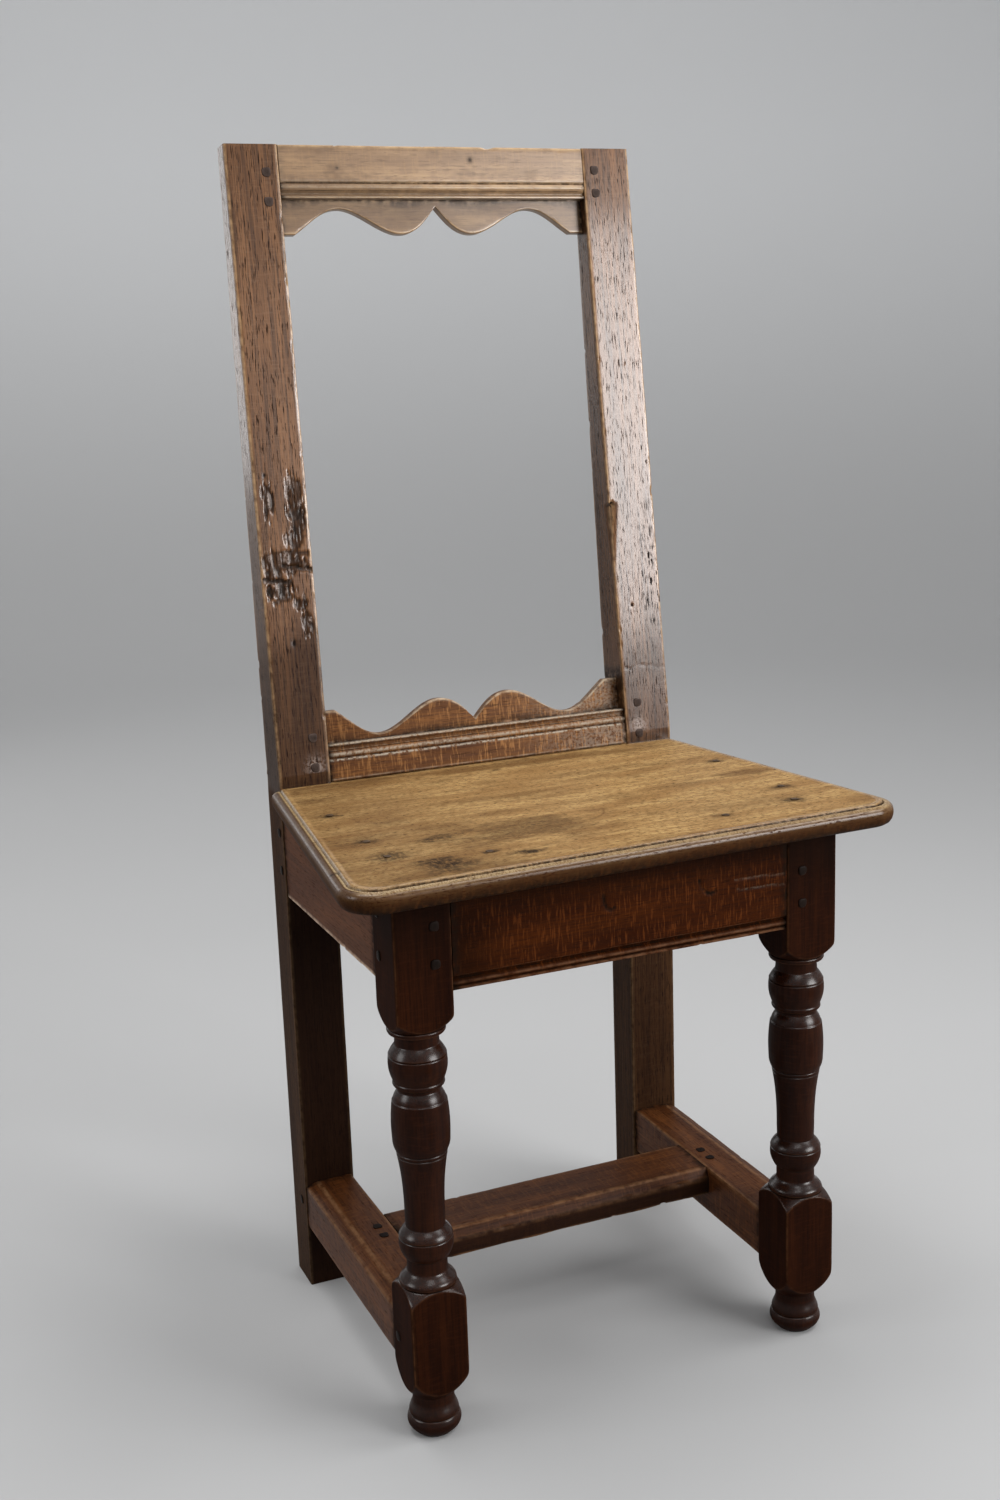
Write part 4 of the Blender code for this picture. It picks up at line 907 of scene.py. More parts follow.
def front_rail_section():
    """Depth and height round the rail, with wear and dirt, down its face and up its back."""
    face = FRONT + RAIL_SETBACK
    bottom = RAIL_TOP - FRONT_RAIL_DROP
    rows = [(face, z, 0, 0.6 * near(z - RAIL_TOP, 9 * MM)) for z in np.linspace(RAIL_TOP, bottom + MOULD, 56)]
    rows.append((face + 0.2 * MM, bottom + MOULD - 0.4 * MM, 1, 0))
    for t in np.linspace(0.1, 1, 6):
        sunk = face + 3.4 * MM * math.sin(math.pi / 2 * t) ** 0.8
        rows.append((sunk, bottom + MOULD * (0.96 - 0.28 * t), 0, t))
    for t in np.linspace(0, 1, 9):
        bulge = math.sin(math.pi * t)
        proud = face + (2.6 - 2.2 * bulge) * MM
        rows.append((proud, bottom + MOULD * (0.66 - 0.40 * t), bulge ** 3, 0.4 * (1 - bulge)))
    rows.append((face + 2.9 * MM, bottom + MOULD * 0.22, 0, 1))
    rows += [(face + 1.3 * MM, bottom + MOULD * 0.15, 1, 0), (face + 1.1 * MM, bottom + MOULD * 0.06, 1, 0),
             (face + 1.6 * MM, bottom, 1, 0)]
    back = face + RAIL_THICK
    rows += [(y, bottom, 0, 0.3) for y in np.linspace(face + 4 * MM, back - 2 * MM, 6)]
    rows += [(back, z, 0, 0.3) for z in np.linspace(bottom + 1 * MM, RAIL_TOP - 1 * MM, 12)]
    rows += [(y, RAIL_TOP, 0, 0.5) for y in np.linspace(back - 1 * MM, face + 3 * MM, 5)]
    return np.array(rows).T


def scratch_depth(across, height, marks, wide):
    """Marks scratched into the front rail's face along straight stretches."""
    depth = np.zeros(np.broadcast(across, height).shape)
    for corners in marks:
        for (x0, z0), (x1, z1) in zip(corners, corners[1:]):
            along = (across / MM - x0) * (x1 - x0) + (height / MM - z0) * (z1 - z0)
            t = np.clip(along / ((x1 - x0) ** 2 + (z1 - z0) ** 2), 0, 1)
            away = np.hypot(across - (x0 + (x1 - x0) * t) * MM, height - (z0 + (z1 - z0) * t) * MM)
            depth = np.maximum(depth, SCRATCH_DEPTH * near(away, wide))
    return depth


def front_rail(seed):
    """The rail under the seat's front edge, with its scratched marks, in painted shade under the seat and at
    its left end.
    """
    depth, height, worn, grime = front_rail_section()
    at = np.linspace(-RAIL_END, RAIL_END, 280)[:, None]
    rings = np.stack(np.broadcast_arrays(at, depth, height), -1)
    worn = np.broadcast_to(worn, rings.shape[:2])
    ends = near(RAIL_END - np.abs(at), 5 * MM)
    on_face = depth < FRONT + RAIL_SETBACK + 0.1 * MM
    hooks = scratch_depth(at, height, HOOKS, 1.4 * MM) * on_face
    scribed = scratch_depth(at, height, SCRIBED, 0.7 * MM) * on_face
    scratch = np.maximum(hooks, scribed)
    grime = np.maximum(np.maximum(grime, ends), ramp(hooks, 0.1 * MM, 0.4 * MM))
    dust = 0.15 * ramp(scribed, 0.15 * MM, 0.45 * MM)
    plank = rings + seed * SEED_STEP * MM
    way = outward(rings)
    rings = weather(rings, worn, seed, 0.2 * MM, 0.08 * MM) - way * scratch[..., None]
    # painted shade: the top of the face under the seat, and the left end
    shade = 0.85 * ramp(height, RAIL_TOP - 40 * MM, RAIL_TOP - 8 * MM)
    shade = np.maximum(shade, 0.7 * ramp(-at, 85 * MM, 135 * MM))
    return timber("front_seat_rail", rings, plank, "oak_frame", worn=worn, grime=grime, dust=dust,
                  shade=shade)


rail = front_rail(61)
print(rail.name, len(rail.data.vertices), "vertices")

# %% Plain bars
SIDE_RAIL_DROP = 76 * MM
STRETCHER_LOW, STRETCHER_TOP = 57 * MM, 99 * MM
STRETCHER_THICK = 42 * MM
CHAMFER, CHAMFER_DROP = 10 * MM, 4 * MM
MEDIAL_WIDTH, MEDIAL_HEIGHT = 55 * MM, 24 * MM
MEDIAL_CHAMFER, MEDIAL_CHAMFER_DROP = 5 * MM, 9 * MM
POST_BACK = POST_FRONT + POST_DEPTH
BAR_ARRIS = 1 * MM
BAR_START, BAR_END = FRONT + LEG_SIZE + GAP, POST_FRONT - GAP


def plain_bar(node, corners, counts, start, end, axis, seed, rub=0.3 * MM, ragged=1.0, **facts):
    """A bar with rubbed arrises, of which the lower ones can be more ragged."""
    section, distance = rounded_outline(corners, BAR_ARRIS, counts)
    worn = near(distance, ARRIS_REACH)
    worn = np.where(section[:, 1] < section[:, 1].min() + 2 * MM, worn * ragged, worn)
    return straight(node, section, start, end, axis, seed, "oak_frame", worn, rub, **facts)


for word, side, seed in (("left", -1, 63), ("right", 1, 64)):
    near_x = side * (OUTER - RAIL_SETBACK)
    far_x = near_x - side * RAIL_THICK
    plain_bar(f"side_seat_rail_{word}", rectangle(near_x, far_x, RAIL_TOP - SIDE_RAIL_DROP, RAIL_TOP),
              (8, 24, 8, 24), BAR_START, BAR_END, 1, seed)
    far_x = near_x - side * STRETCHER_THICK
    shape = [(far_x, STRETCHER_LOW), (near_x, STRETCHER_LOW), (near_x, STRETCHER_TOP - CHAMFER_DROP),
             (near_x - side * CHAMFER, STRETCHER_TOP), (far_x, STRETCHER_TOP)]
    plain_bar(f"side_stretcher_{word}", shape, (14, 14, 5, 14, 14), BAR_START, BAR_END, 1, seed + 2, 0.5 * MM)

rear_y = POST_BACK - RAIL_SETBACK
plain_bar("rear_seat_rail", rectangle(rear_y - RAIL_THICK, rear_y, RAIL_TOP - SIDE_RAIL_DROP, RAIL_TOP),
          (8, 24, 8, 24), -RAIL_END, RAIL_END, 0, 67)
medial_y = (FRONT + LEG_SIZE + POST_FRONT) / 2 - MEDIAL_WIDTH / 2
medial_end = OUTER - RAIL_SETBACK - STRETCHER_THICK - GAP
medial_low = STRETCHER_TOP - MEDIAL_HEIGHT
medial = [(medial_y, medial_low), (medial_y + MEDIAL_WIDTH, medial_low),
          (medial_y + MEDIAL_WIDTH, STRETCHER_TOP), (medial_y + MEDIAL_CHAMFER, STRETCHER_TOP),
          (medial_y, STRETCHER_TOP - MEDIAL_CHAMFER_DROP)]
medial_counts = (16, 8, 16, 5, 7)
medial_section, _ = rounded_outline(medial, BAR_ARRIS, medial_counts)
# painted shade on the front face and the chamfer, below the lit top
medial_face = 0.92 * (medial_section[:, 0] < medial_y + 0.5 * MM)
medial_face = np.maximum(medial_face, 0.35 * (medial_section[:, 0] < medial_y + MEDIAL_CHAMFER - 1 * MM))
plain_bar("medial_stretcher", medial, medial_counts, -medial_end, medial_end, 0, 68, 0.5 * MM, 2.2,
          shade=medial_face)
print("bars done,", len(pieces_made), "pieces so far")

# %% [markdown]
# ## Pegs
# Riven pegs are knocked through each joint. They are never quite round, and they stand a little proud
# where the wood around them has shrunk. A peg's name says which joint it holds, and so which way it was
# driven. Its solid says where it lies: the place, length and width are measured from the vertices.

# %% Riven pegs
PEG_AROUND = 20
PEG_POWER = 3.2
INTO_BACK = np.array([0, math.cos(LEAN), -math.sin(LEAN)])
PEG_WAYS = {"crest": INTO_BACK, "lower": INTO_BACK, "front_rail": (0, 1, 0), "rear_rail": (0, -1, 0),
            "medial": (0, 0, -1), "seat": (0, 0, -1)}


def peg_way(node):
    """The direction in which a peg was driven."""
    for start, way in PEG_WAYS.items():
        if node.startswith(start):
            return np.array(way, float)
    return np.array((1.0 if "_left" in node else -1.0, 0, 0))


def riven_peg(node, seed):
    """A peg in the place of its solid: blunt, a little crooked, domed and rubbed where it shows."""
    chance = np.random.default_rng(seed)
    way = peg_way(node)
    solid = np.array([v.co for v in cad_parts[node].data.vertices])
    along = solid @ way
    side = np.cross(way, (0, 0, 1) if abs(way[2]) < 0.9 else (1, 0, 0))
    side /= np.linalg.norm(side)
    other = np.cross(way, side)
    axis = solid.mean(0) - way * (solid.mean(0) @ way)
    radius = np.ptp(solid @ side) / 2
    flush = node.startswith(("seat", "medial"))
    head = along.min() - (0.45 * MM if flush else 0)
    deep = along.max()
    turn = np.linspace(0, 2 * math.pi, PEG_AROUND, endpoint=False) + chance.uniform(0, 2 * math.pi)
    blunt = squarish(turn, PEG_POWER)
    blunt *= 1 + 0.05 * np.sin(3 * turn + chance.uniform(0, 6))
    dome = 0.25 if flush else 1.0
    stations = [(deep, 0.80), (head + 6 * MM, 0.90), (head + 1.2 * MM, 0.93), (head + 0.55 * dome * MM, 0.93),
                (head + 0.25 * dome * MM, 0.86), (head + 0.08 * dome * MM, 0.70), (head, 0.40)]
    tilt = chance.uniform(-0.05, 0.05, 2)
    rings = []
    for at, share in stations:
        a = radius * share * blunt * np.cos(turn)
        b = radius * share * blunt * np.sin(turn)
        lean = (a * tilt[0] + b * tilt[1]) * (at < head + 1 * MM)
        rings.append(axis + np.outer(a, side) + np.outer(b, other) + np.outer(at + lean, way))
    rings = np.array(rings)
    worn = np.array([0, 0, 0, 0.2, 1, 0.8, 0.4])[:, None]
    grime = np.array([0, 0, 1, 0.7, 0, 0.2, 0.3])[:, None]
    plank = np.stack([rings @ way, rings @ side, rings @ other], -1) + seed * SEED_STEP * MM
    return timber(node, rings, plank, "oak_peg", worn=worn, grime=grime)


peg_nodes = sorted(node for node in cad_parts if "peg" in node)
for number, node in enumerate(peg_nodes):
    riven_peg(node, 200 + number)
print(len(peg_nodes), "pegs,", sum(len(p.data.polygons) for p in pieces_made), "faces on the chair")

# %% [markdown]
# ## A place for shader nodes
# Materials are built from a few helpers. One places a node and joins it, one opens a node group with
# named sockets, and one makes noise stretched along the plank and pushes it to a mask from 0 to 1.

# %% Node helpers
def put(tree, kind, values=None, links=None, **settings):
    """Place a node, set its settings and plain values, and join its inputs to other sockets."""
    made = tree.nodes.new(kind)
    for name, value in settings.items():
        setattr(made, name, value)
    for socket, value in (values or {}).items():
        made.inputs[socket].default_value = value
    for socket, source in (links or {}).items():
        tree.links.new(source, made.inputs[socket])
    return made


def open_group(name, inputs, outputs):
    """A node group with named sockets: its tree, its input node and its output node."""
    tree = bpy.data.node_groups.new(name, "ShaderNodeTree")
    for way, sockets in (("INPUT", inputs), ("OUTPUT", outputs)):
        for socket, kind in sockets.items():
            tree.interface.new_socket(socket, in_out=way, socket_type=f"NodeSocket{kind}")
    return tree, tree.nodes.new("NodeGroupInput"), tree.nodes.new("NodeGroupOutput")


def streaks(tree, vector, per_metre, low, high, detail=3.0):
    """A mask from noise with so many blobs per metre along, across and through the plank."""
    scaled = put(tree, "ShaderNodeVectorMath", {1: per_metre}, {0: vector}, operation="MULTIPLY")
    noise = put(tree, "ShaderNodeTexNoise", {"Scale": 1.0, "Detail": detail, "Roughness": 0.55},
                {"Vector": scaled.outputs[0]})
    mask = put(tree, "ShaderNodeMapRange", {"From Min": low, "From Max": high}, {"Value": noise.outputs[0]},
               interpolation_type="SMOOTHSTEP")
    return mask.outputs[0]


def sums(tree, operation, first, second):
    """A Math node on two sockets or numbers."""
    made = put(tree, "ShaderNodeMath", operation=operation)
    for slot, source in enumerate((first, second)):
        if isinstance(source, (int, float)):
            made.inputs[slot].default_value = source
        else:
            tree.links.new(source, made.inputs[slot])
    return made.outputs[0]


def blend(tree, share, under, over):
    """Mix two colours, each a socket or a plain colour, by a share."""
    made = put(tree, "ShaderNodeMix", data_type="RGBA", clamp_factor=True)
    for name, source in (("Factor_Float", share), ("A_Color", under), ("B_Color", over)):
        socket = next(s for s in made.inputs if s.identifier == name)
        if isinstance(source, bpy.types.NodeSocket):
            tree.links.new(source, socket)
        else:
            socket.default_value = source
    return next(s for s in made.outputs if s.identifier == "Result_Color")


print("helpers:", ", ".join(helper.__name__ for helper in (put, open_group, streaks, sums, blend)))

# %% [markdown]
# ## Oak
# Oak shows three things at once: long lines where the growth rings run out, short open pores, and the
# ray fleck, bright flakes that lie across the grain on quartered faces. One group draws all of them from
# a point's place in the plank. A second group lays age over any wood: rubbed arrises and settled dirt,
# together with the painted shade and painted sheen that share its darkening, dirt and dust.

# %% Oak figure group
LINES_PER_METRE = (13.0, 600.0, 600.0)
PORES_PER_METRE = (95.0, 1050.0, 1050.0)
FLECKS_PER_METRE = (620.0, 75.0, 75.0)
TONE_PER_METRE = (6.0, 55.0, 55.0)
MOTTLE_PER_METRE = (70.0, 190.0, 190.0)


def oak_figure():
    """The group that draws oak from a place in the plank."""
    tree, taken, given = open_group("oak_figure", {"Plank": "Vector"},
                                    {"Lines": "Float", "Pores": "Float", "Flecks": "Float", "Tone": "Float",
                                     "Mottle": "Float"})
    plank = taken.outputs["Plank"]
    tree.links.new(streaks(tree, plank, LINES_PER_METRE, 0.40, 0.66), given.inputs["Lines"])
    tree.links.new(streaks(tree, plank, PORES_PER_METRE, 0.565, 0.655, 2.0), given.inputs["Pores"])
    tree.links.new(streaks(tree, plank, FLECKS_PER_METRE, 0.50, 0.68, 2.0), given.inputs["Flecks"])
    tree.links.new(streaks(tree, plank, TONE_PER_METRE, 0.32, 0.68), given.inputs["Tone"])
    tree.links.new(streaks(tree, plank, MOTTLE_PER_METRE, 0.38, 0.66, 4.0), given.inputs["Mottle"])
    return tree


oak_figure_group = oak_figure()
print("oak_figure has", len(oak_figure_group.nodes), "nodes")

# %% Age group
PATCHES_PER_METRE = (140.0, 170.0, 170.0)
DIRT_AND_SHADE_PER_METRE = (160.0, 160.0, 160.0)
DUST_AND_SHEEN_PER_METRE = (420.0, 420.0, 420.0)


def age():
    """The group that lays darkening, wear, dust and dirt over a wood, in that order; the darkening and dirt
    also carry painted shade, and the dust painted sheen.
    """
    tree, taken, given = open_group(
        "age", {"Wood": "Color", "Deep": "Color", "Rubbed": "Color", "Dirt": "Color", "Dust Colour": "Color",
                "Plank": "Vector", "Worn": "Float", "Grime": "Float", "Dust": "Float", "Shade": "Float"},
        {"Colour": "Color", "Dull": "Float"})
    plank = taken.outputs["Plank"]
    bare = sums(tree, "MULTIPLY", taken.outputs["Worn"], streaks(tree, plank, PATCHES_PER_METRE, 0.22, 0.70))
    shaded = sums(tree, "MULTIPLY", taken.outputs["Shade"], 0.7)
    bare = sums(tree, "MULTIPLY", bare, sums(tree, "SUBTRACT", 1.0, shaded))
    dirt_and_shade_cover = sums(tree, "MULTIPLY", taken.outputs["Grime"], streaks(tree, plank, DIRT_AND_SHADE_PER_METRE, 0.25, 0.60))
    dust_and_sheen_cover = sums(tree, "MULTIPLY", taken.outputs["Dust"], streaks(tree, plank, DUST_AND_SHEEN_PER_METRE, 0.34, 0.60))
    colour = blend(tree, taken.outputs["Shade"], taken.outputs["Wood"], taken.outputs["Deep"])
    colour = blend(tree, bare, colour, taken.outputs["Rubbed"])
    colour = blend(tree, dust_and_sheen_cover, colour, taken.outputs["Dust Colour"])
    colour = blend(tree, dirt_and_shade_cover, colour, taken.outputs["Dirt"])
    tree.links.new(colour, given.inputs["Colour"])
    tree.links.new(sums(tree, "MAXIMUM", dirt_and_shade_cover, dust_and_sheen_cover), given.inputs["Dull"])
    return tree


age_group = age()
print("groups:", [g.name for g in bpy.data.node_groups])

# %% [markdown]
# ## Finishes
# The chair is one kind of wood in several states. The back has gone a mid brown, its crest has bleached,
# the seat is rubbed to honey, and the frame below is a deep red-brown that keeps its wax; the colours of
# the legs and the front rail are darkened further as painted shade under the seat. Pegs are dull end
# grain: grey in the back, nearly black in the frame, brown where they plug the seat. Each finish is the
# same graph with its own colours, so a change to the oak reaches all of them. Wax is a clear coat over
# the wood. Its weight falls in pores, in dirt, dust, painted shade and painted sheen, and where the wood
# is darkened or matt, which keeps the shine on the places that hands and cloth have polished.

# %% Oak finish
DUST_GREY = (0.34, 0.29, 0.22)
# the dark colour of dirt, which also paints shade
DARK_DIRT_AND_SHADE = (0.009, 0.005, 0.003)


def oak_finish(name, wood, shade, line, fleck, deep, rubbed, amounts, gloss, shine, coat=0.0,
               dust=DUST_GREY, bared=1.0):
    """An oak material. Amounts weigh lines, flecks, pores and mottle; gloss is the roughness range, and
    bared is how far dark places have lost their wax."""
    oak = bpy.data.materials.new(name)
    oak.use_nodes = True
    tree = oak.node_tree
    shader = tree.nodes["Principled BSDF"]
    fact = {}
    for kind in FACTS:
        fact[kind] = put(tree, "ShaderNodeAttribute", attribute_name=kind).outputs["Fac"]
    plank = put(tree, "ShaderNodeAttribute", attribute_name="plank").outputs["Vector"]
    figure = put(tree, "ShaderNodeGroup", node_tree=oak_figure_group, links={"Plank": plank})
    lines = sums(tree, "MULTIPLY", figure.outputs["Lines"], amounts[0])
    flecks = sums(tree, "MULTIPLY", figure.outputs["Flecks"], amounts[1])
    pores = sums(tree, "MULTIPLY", figure.outputs["Pores"], amounts[2])
    mottle = sums(tree, "MULTIPLY", figure.outputs["Mottle"], amounts[3])
    colour = blend(tree, figure.outputs["Tone"], (*shade, 1), (*wood, 1))
    colour = blend(tree, mottle, colour, (*shade, 1))
    colour = blend(tree, lines, colour, (*line, 1))
    colour = blend(tree, flecks, colour, (*fleck, 1))
    colour = blend(tree, pores, colour, (*(c * 0.35 for c in line), 1))
    deepened = blend(tree, 0.05, (*deep, 1), colour)
    aged = put(tree, "ShaderNodeGroup",
               {"Rubbed": (*rubbed, 1), "Dirt": (*DARK_DIRT_AND_SHADE, 1), "Dust Colour": (*dust, 1)},
               {"Wood": colour, "Deep": deepened, "Plank": plank, "Worn": fact["worn"],
                "Grime": fact["grime"], "Dust": fact["dust"], "Shade": fact["shade"]}, node_tree=age_group)
    tree.links.new(aged.outputs["Colour"], shader.inputs["Base Color"])
    dull = sums(tree, "MAXIMUM", sums(tree, "MULTIPLY", pores, 1.1), aged.outputs["Dull"])
    dull = sums(tree, "MAXIMUM", dull, fact["matt"])
    rough = put(tree, "ShaderNodeMapRange", {"To Min": gloss[0], "To Max": gloss[1]}, {"Value": dull})
    tree.links.new(rough.outputs[0], shader.inputs["Roughness"])
    height = sums(tree, "ADD", sums(tree, "MULTIPLY", pores, -0.7), sums(tree, "MULTIPLY", lines, -0.2))
    bump = put(tree, "ShaderNodeBump", {"Strength": 0.35, "Distance": 0.5 * MM}, {"Height": height})
    tree.links.new(bump.outputs[0], shader.inputs["Normal"])
    shader.inputs["Specular IOR Level"].default_value = shine
    shader.inputs["Coat Roughness"].default_value = gloss[0]
    if coat:
        waxless = sums(tree, "MAXIMUM", sums(tree, "MULTIPLY", fact["shade"], bared), dull)
        waxed = put(tree, "ShaderNodeMapRange", {"To Min": coat, "To Max": 0.0}, {"Value": waxless})
        tree.links.new(waxed.outputs[0], shader.inputs["Coat Weight"])
    return oak


print("dirt and dust:", DARK_DIRT_AND_SHADE, DUST_GREY)

# %% All the finishes
OAKS = {    # wood, shaded, lines, flecks; deep, rubbed, amounts; gloss, shine, coat, dust and sheen, bared
    # the posts' deep colour, near black, also paints the shade under the seat; their dust colour also paints
    # glints on the torn face
    "oak_posts": (
        (0.205, 0.091, 0.034), (0.118, 0.049, 0.017), (0.040, 0.017, 0.007), (0.30, 0.17, 0.09),
        (0.008, 0.0026, 0.0012), (0.36, 0.22, 0.11), (0.70, 0.10, 0.90, 0.2),
        (0.26, 0.60), 0.05, 1.0, (0.42, 0.34, 0.30)),
    "oak_crest": (
        (0.405, 0.252, 0.124), (0.240, 0.140, 0.070), (0.080, 0.042, 0.022), (0.38, 0.22, 0.09),
        (0.080, 0.050, 0.036), (0.44, 0.29, 0.15), (0.24, 0.20, 0.26, 0.8),
        (0.30, 0.60), 0.15, 1.0),
    # the lower rail's dust colour also paints its sheen towards the right
    "oak_lower_rail": (
        (0.208, 0.083, 0.020), (0.102, 0.037, 0.008), (0.040, 0.013, 0.006), (0.42, 0.195, 0.060),
        (0.046, 0.015, 0.007), (0.42, 0.32, 0.22), (0.45, 0.50, 0.50, 0.5),
        (0.40, 0.65), 0.04, 0.16, (0.40, 0.35, 0.28)),
    # the seat's golden dust colour also paints the glints on its nose
    "oak_seat": (
        (0.478, 0.306, 0.126), (0.295, 0.166, 0.063), (0.115, 0.048, 0.014), (0.48, 0.28, 0.09),
        (0.038, 0.0105, 0.0022), (0.24, 0.11, 0.04), (0.36, 0.15, 0.90, 0.75),
        (0.22, 0.56), 0.03, 0.9, (0.47, 0.36, 0.20), 0.2),
    # darkened further as painted shade under the seat
    "oak_front_rail": (
        (0.054, 0.0128, 0.0022), (0.028, 0.0060, 0.0012), (0.016, 0.005, 0.002), (0.155, 0.042, 0.009),
        (0.008, 0.003, 0.0015), (0.13, 0.060, 0.030), (0.45, 0.42, 0.45, 0.3),
        (0.40, 0.65), 0.015, 0.03),
    "oak_side_rails": (
        (0.125, 0.042, 0.013), (0.078, 0.024, 0.007), (0.034, 0.010, 0.004), (0.15, 0.050, 0.015),
        (0.012, 0.005, 0.003), (0.62, 0.45, 0.32), (0.45, 0.25, 0.45, 0.4),
        (0.45, 0.70), 0.05),
    # darkened further as painted shade under the seat
    "oak_frame": (
        (0.027, 0.0070, 0.0020), (0.0135, 0.0034, 0.0012), (0.006, 0.0018, 0.001), (0.052, 0.014, 0.004),
        (0.005, 0.002, 0.001), (0.080, 0.032, 0.013), (0.50, 0.15, 0.18, 0.3),
        (0.25, 0.70), 0.03, 1.0),
    "oak_stretchers": (
        (0.120, 0.040, 0.011), (0.060, 0.018, 0.005), (0.018, 0.006, 0.003), (0.19, 0.066, 0.017),
        (0.012, 0.005, 0.003), (0.18, 0.086, 0.038), (0.50, 0.30, 0.45, 0.5),
        (0.42, 0.70), 0.05, 0.12),
    "oak_pegs": (
        (0.009, 0.005, 0.0035), (0.006, 0.003, 0.002), (0.004, 0.002, 0.0015), (0.016, 0.010, 0.007),
        (0.006, 0.003, 0.002), (0.014, 0.008, 0.006), (0.40, 0.20, 0.40, 0.3),
        (0.45, 0.70), 0.05),
    "oak_back_pegs": (
        (0.060, 0.041, 0.034), (0.036, 0.023, 0.018), (0.020, 0.013, 0.010), (0.085, 0.060, 0.050),
        (0.012, 0.007, 0.005), (0.085, 0.060, 0.050), (0.40, 0.20, 0.40, 0.4),
        (0.45, 0.70), 0.05),
    "oak_plugs": (
        (0.105, 0.062, 0.030), (0.060, 0.033, 0.016), (0.030, 0.016, 0.009), (0.130, 0.080, 0.040),
        (0.02, 0.010, 0.006), (0.090, 0.055, 0.030), (0.40, 0.20, 0.60, 0.6),
        (0.40, 0.65), 0.05, 0.2),
}
FINISH_OF = {   # the first word that a piece's name holds decides
    "seat_peg": "oak_plugs", "crest_peg": "oak_back_pegs", "lower_back_peg": "oak_back_pegs",
    "peg": "oak_pegs", "rear_post": "oak_posts", "crest_rail": "oak_crest",
    "lower_back_rail": "oak_lower_rail", "seat_board": "oak_seat", "front_seat_rail": "oak_front_rail",
    "seat_rail": "oak_side_rails", "stretcher": "oak_stretchers", "front_leg": "oak_frame",
}
finishes = {name: oak_finish(name, *values) for name, values in OAKS.items()}
for piece in pieces_made:
    finish = next(oak for word, oak in FINISH_OF.items() if word in piece.name)
    piece.data.materials.append(finishes[finish])
print(len(finishes), "finishes on", len(pieces_made), "pieces")

# %% [markdown]
# ## Floor, light and camera
# The chair stands on a plain pale studio floor that sweeps up all round, so no corner shows behind it. The
# sweep is painted a little paler as it climbs, a painted light on the wall. Two broad lamps above give most
# of the light. One in front on the right puts its reflection on the right post, whose front shines while
# the left one stays brown. A window on the left and a weak strip above the front fill in, and weaker lamps
# behind draw the left edges and light the wall. The camera stands where the photographer did, left of the
# middle, looking down a little and tipped by two degrees.

# %% Floor
FLOOR_RADIUS, SWEEP_RADIUS, WALL_TOP = 3.2, 2.0, 4.2
FLOOR_RINGS, FLOOR_AROUND = 12, 96
PALER_UP_TO = 1.6
PALE_FLOOR = (0.47, 0.47, 0.47, 1)
PALE_WALL = (0.80, 0.805, 0.81, 1)


def studio_sweep():
    """A round floor that curves up into a wall, with its paint."""
    turn = np.linspace(0, math.pi / 2, 16)
    flat = np.linspace(0.2, FLOOR_RADIUS, FLOOR_RINGS)
    radii = np.concatenate([flat, FLOOR_RADIUS + SWEEP_RADIUS * np.sin(turn[1:]),
                            [FLOOR_RADIUS + SWEEP_RADIUS]])
    heights = np.concatenate([0 * flat, SWEEP_RADIUS * (1 - np.cos(turn[1:])), [WALL_TOP]])
    turns = np.linspace(0, 2 * math.pi, FLOOR_AROUND, endpoint=False)
    points = np.stack([np.outer(radii, np.cos(turns)), np.outer(radii, np.sin(turns)),
                       np.repeat(heights[:, None], FLOOR_AROUND, 1)], -1).reshape(-1, 3)
    index = np.arange(len(points)).reshape(len(radii), FLOOR_AROUND)
    faces = np.stack([index[:-1], np.roll(index[:-1], -1, 1), np.roll(index[1:], -1, 1), index[1:]], -1)
    mesh = bpy.data.meshes.new("studio_floor")
    mesh.from_pydata(points.tolist(), [], faces.reshape(-1, 4).tolist() + [index[0][::-1].tolist()])
    mesh.shade_smooth()
    paint = bpy.data.materials.new("pale_floor")
    paint.use_nodes = True
    shader = paint.node_tree.nodes["Principled BSDF"]
    place = put(paint.node_tree, "ShaderNodeNewGeometry")
    height = put(paint.node_tree, "ShaderNodeSeparateXYZ", links={0: place.outputs["Position"]})
    # painted light: the sweep pales as it climbs
    climb = put(paint.node_tree, "ShaderNodeMapRange", {"From Min": 0.0, "From Max": PALER_UP_TO},
                {"Value": height.outputs["Z"]}, interpolation_type="SMOOTHSTEP")
    tint = blend(paint.node_tree, climb.outputs[0], PALE_FLOOR, PALE_WALL)
    paint.node_tree.links.new(tint, shader.inputs["Base Color"])
    shader.inputs["Roughness"].default_value = 0.95
    shader.inputs["Specular IOR Level"].default_value = 0.1
    mesh.materials.append(paint)
    floor = bpy.data.objects.new("studio_floor", mesh)
    bpy.context.scene.collection.objects.link(floor)
    return floor


floor = studio_sweep()
print("floor reaches", FLOOR_RADIUS + SWEEP_RADIUS, "m from the chair")

# %% Lamps
LAMPS = (                       # name, place, target, size, watts, spread in degrees
    ("right_front", (1.62, -1.9, 1.12), (0.1, 0.1, 0.85), (1.3, 1.04), 14.6, 80),
    ("right_above", (1.5, -0.6, 2.7), (0, 0, 0.5), (1.2, 1.7), 30, 180),
    ("above", (-0.5, 0.4, 3.0), (0, 0, 0.4), (1.4, 1.4), 26, 180),
    ("left_window", (-2.5, 0.15, 1.40), (0, 0, 0.5), (1.0, 1.0), 15, 180),
    ("front_above", (-0.2, -1.6, 2.7), (0, 0, 0.3), (1.1, 0.3), 6, 180),
    ("left_back", (-0.72, 2.5, 1.0), (-0.1, 0.1, 0.7), (0.36, 0.9), 1.95, 180),
    ("behind", (0.5, 2.7, 3.0), (0, 0.1, 0.5), (1.6, 1.0), 8, 180),
    ("back_wall", (1.0, 2.6, 3.4), (1.6, 4.3, 1.2), (2.4, 0.4), 8, 120),
)
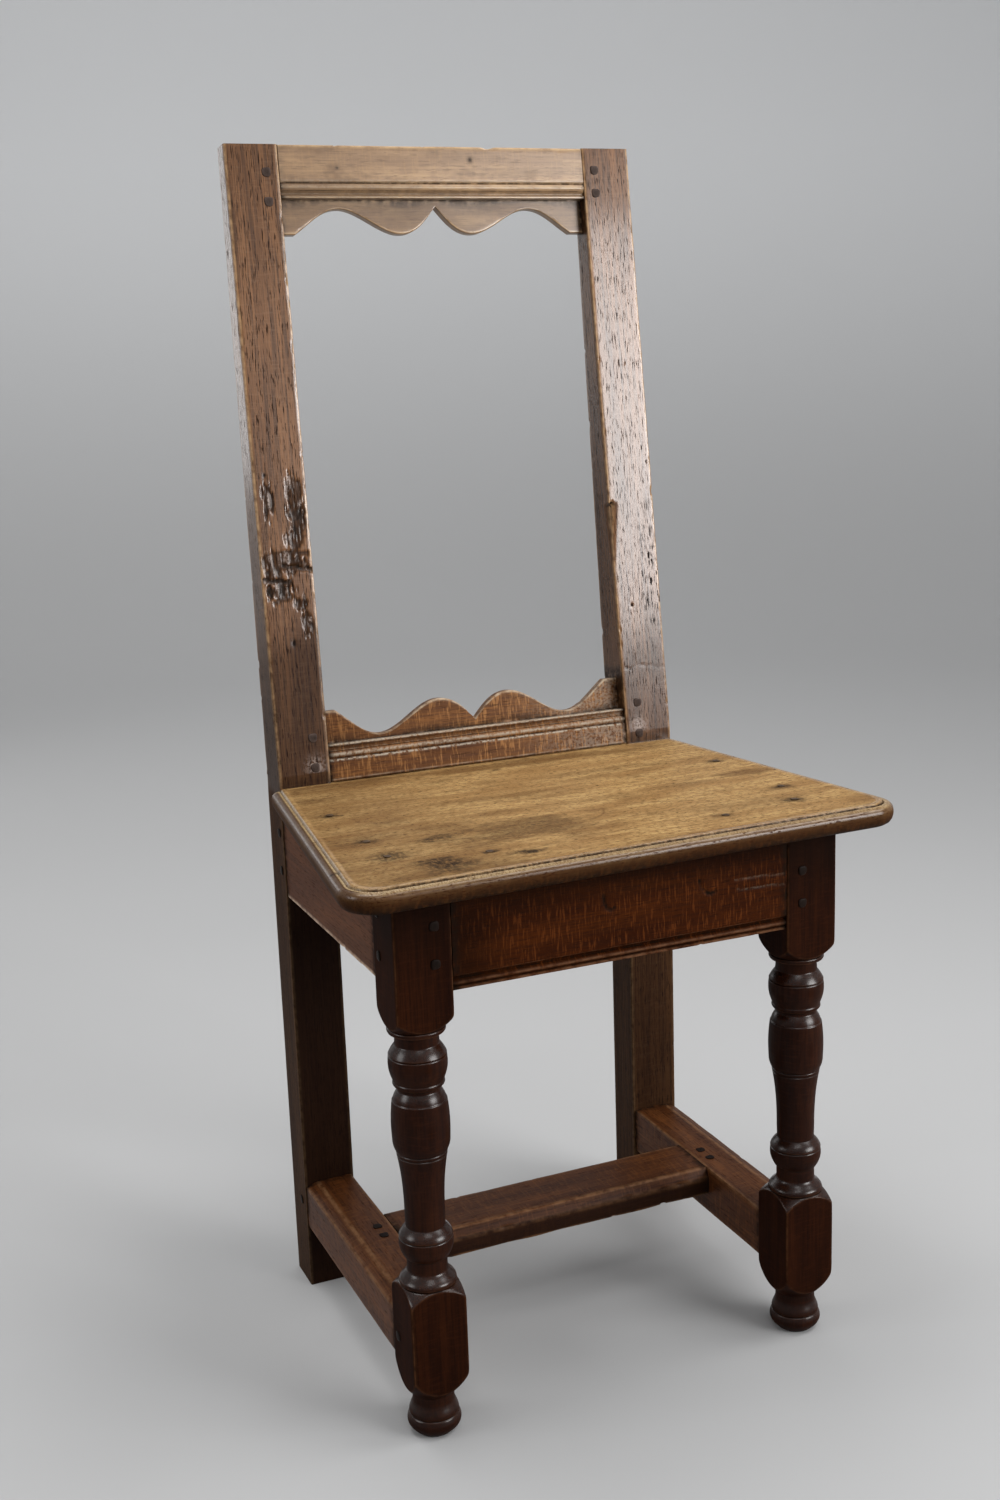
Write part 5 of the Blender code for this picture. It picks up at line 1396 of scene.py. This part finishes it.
ROOM_COLOUR = (0.97, 0.98, 1.0, 1)
ROOM_STRENGTH = 0.42


def soft_lamp(name, place, target, size, watts, spread):
    """A rectangular lamp that points at a target, within a spread in degrees, and doesn't show itself."""
    lamp = bpy.data.lights.new(name, "AREA")
    lamp.shape = "RECTANGLE"
    lamp.size, lamp.size_y = size
    lamp.energy = watts
    lamp.spread = math.radians(spread)
    stand = bpy.data.objects.new(name, lamp)
    aim = (Vector(target) - Vector(place)).to_track_quat("-Z", "Y")
    stand.matrix_world = Matrix.Translation(place) @ aim.to_matrix().to_4x4()
    stand.visible_camera = False
    bpy.context.scene.collection.objects.link(stand)
    return stand


for lamp in LAMPS:
    soft_lamp(*lamp)
world = bpy.data.worlds.new("studio")
world.use_nodes = True
world.node_tree.nodes["Background"].inputs["Color"].default_value = ROOM_COLOUR
world.node_tree.nodes["Background"].inputs["Strength"].default_value = ROOM_STRENGTH
bpy.context.scene.world = world
bpy.context.scene.view_settings.view_transform = "Standard"

# %% Camera
CAMERA_PLACE = (-571.4 * MM, FRONT - 1111.7 * MM, 809.3 * MM)
CAMERA_TURN = 0.40213           # to the right of straight back, radians
CAMERA_DIP = 0.22415            # below the horizon
CAMERA_TIP = -0.03480           # turned about its own line of sight
CAMERA_LENS = 41.90             # millimetres on a 36 mm long side


def photographer():
    """The camera, set up from where it looks and how it is tipped."""
    level_reach = math.cos(CAMERA_DIP)
    ahead = Vector((math.sin(CAMERA_TURN) * level_reach, math.cos(CAMERA_TURN) * level_reach,
                    -math.sin(CAMERA_DIP)))
    level = Vector((math.cos(CAMERA_TURN), -math.sin(CAMERA_TURN), 0))
    above = level.cross(ahead)
    right = level * math.cos(CAMERA_TIP) + above * math.sin(CAMERA_TIP)
    up = above * math.cos(CAMERA_TIP) - level * math.sin(CAMERA_TIP)
    lens = bpy.data.cameras.new("photographer")
    lens.sensor_fit = "AUTO"
    lens.sensor_width = 36
    lens.lens = CAMERA_LENS
    stand = bpy.data.objects.new("photographer", lens)
    facing = Matrix((right, up, -ahead)).transposed().to_4x4()
    stand.matrix_world = Matrix.Translation(CAMERA_PLACE) @ facing
    bpy.context.scene.collection.objects.link(stand)
    bpy.context.scene.camera = stand
    return stand


camera = photographer()
print("camera at", [round(v, 3) for v in camera.location])

# %% [markdown]
# The worn skins may stand a little proud of the solids, but not far.

# %% Finish
bpy.context.view_layer.update()
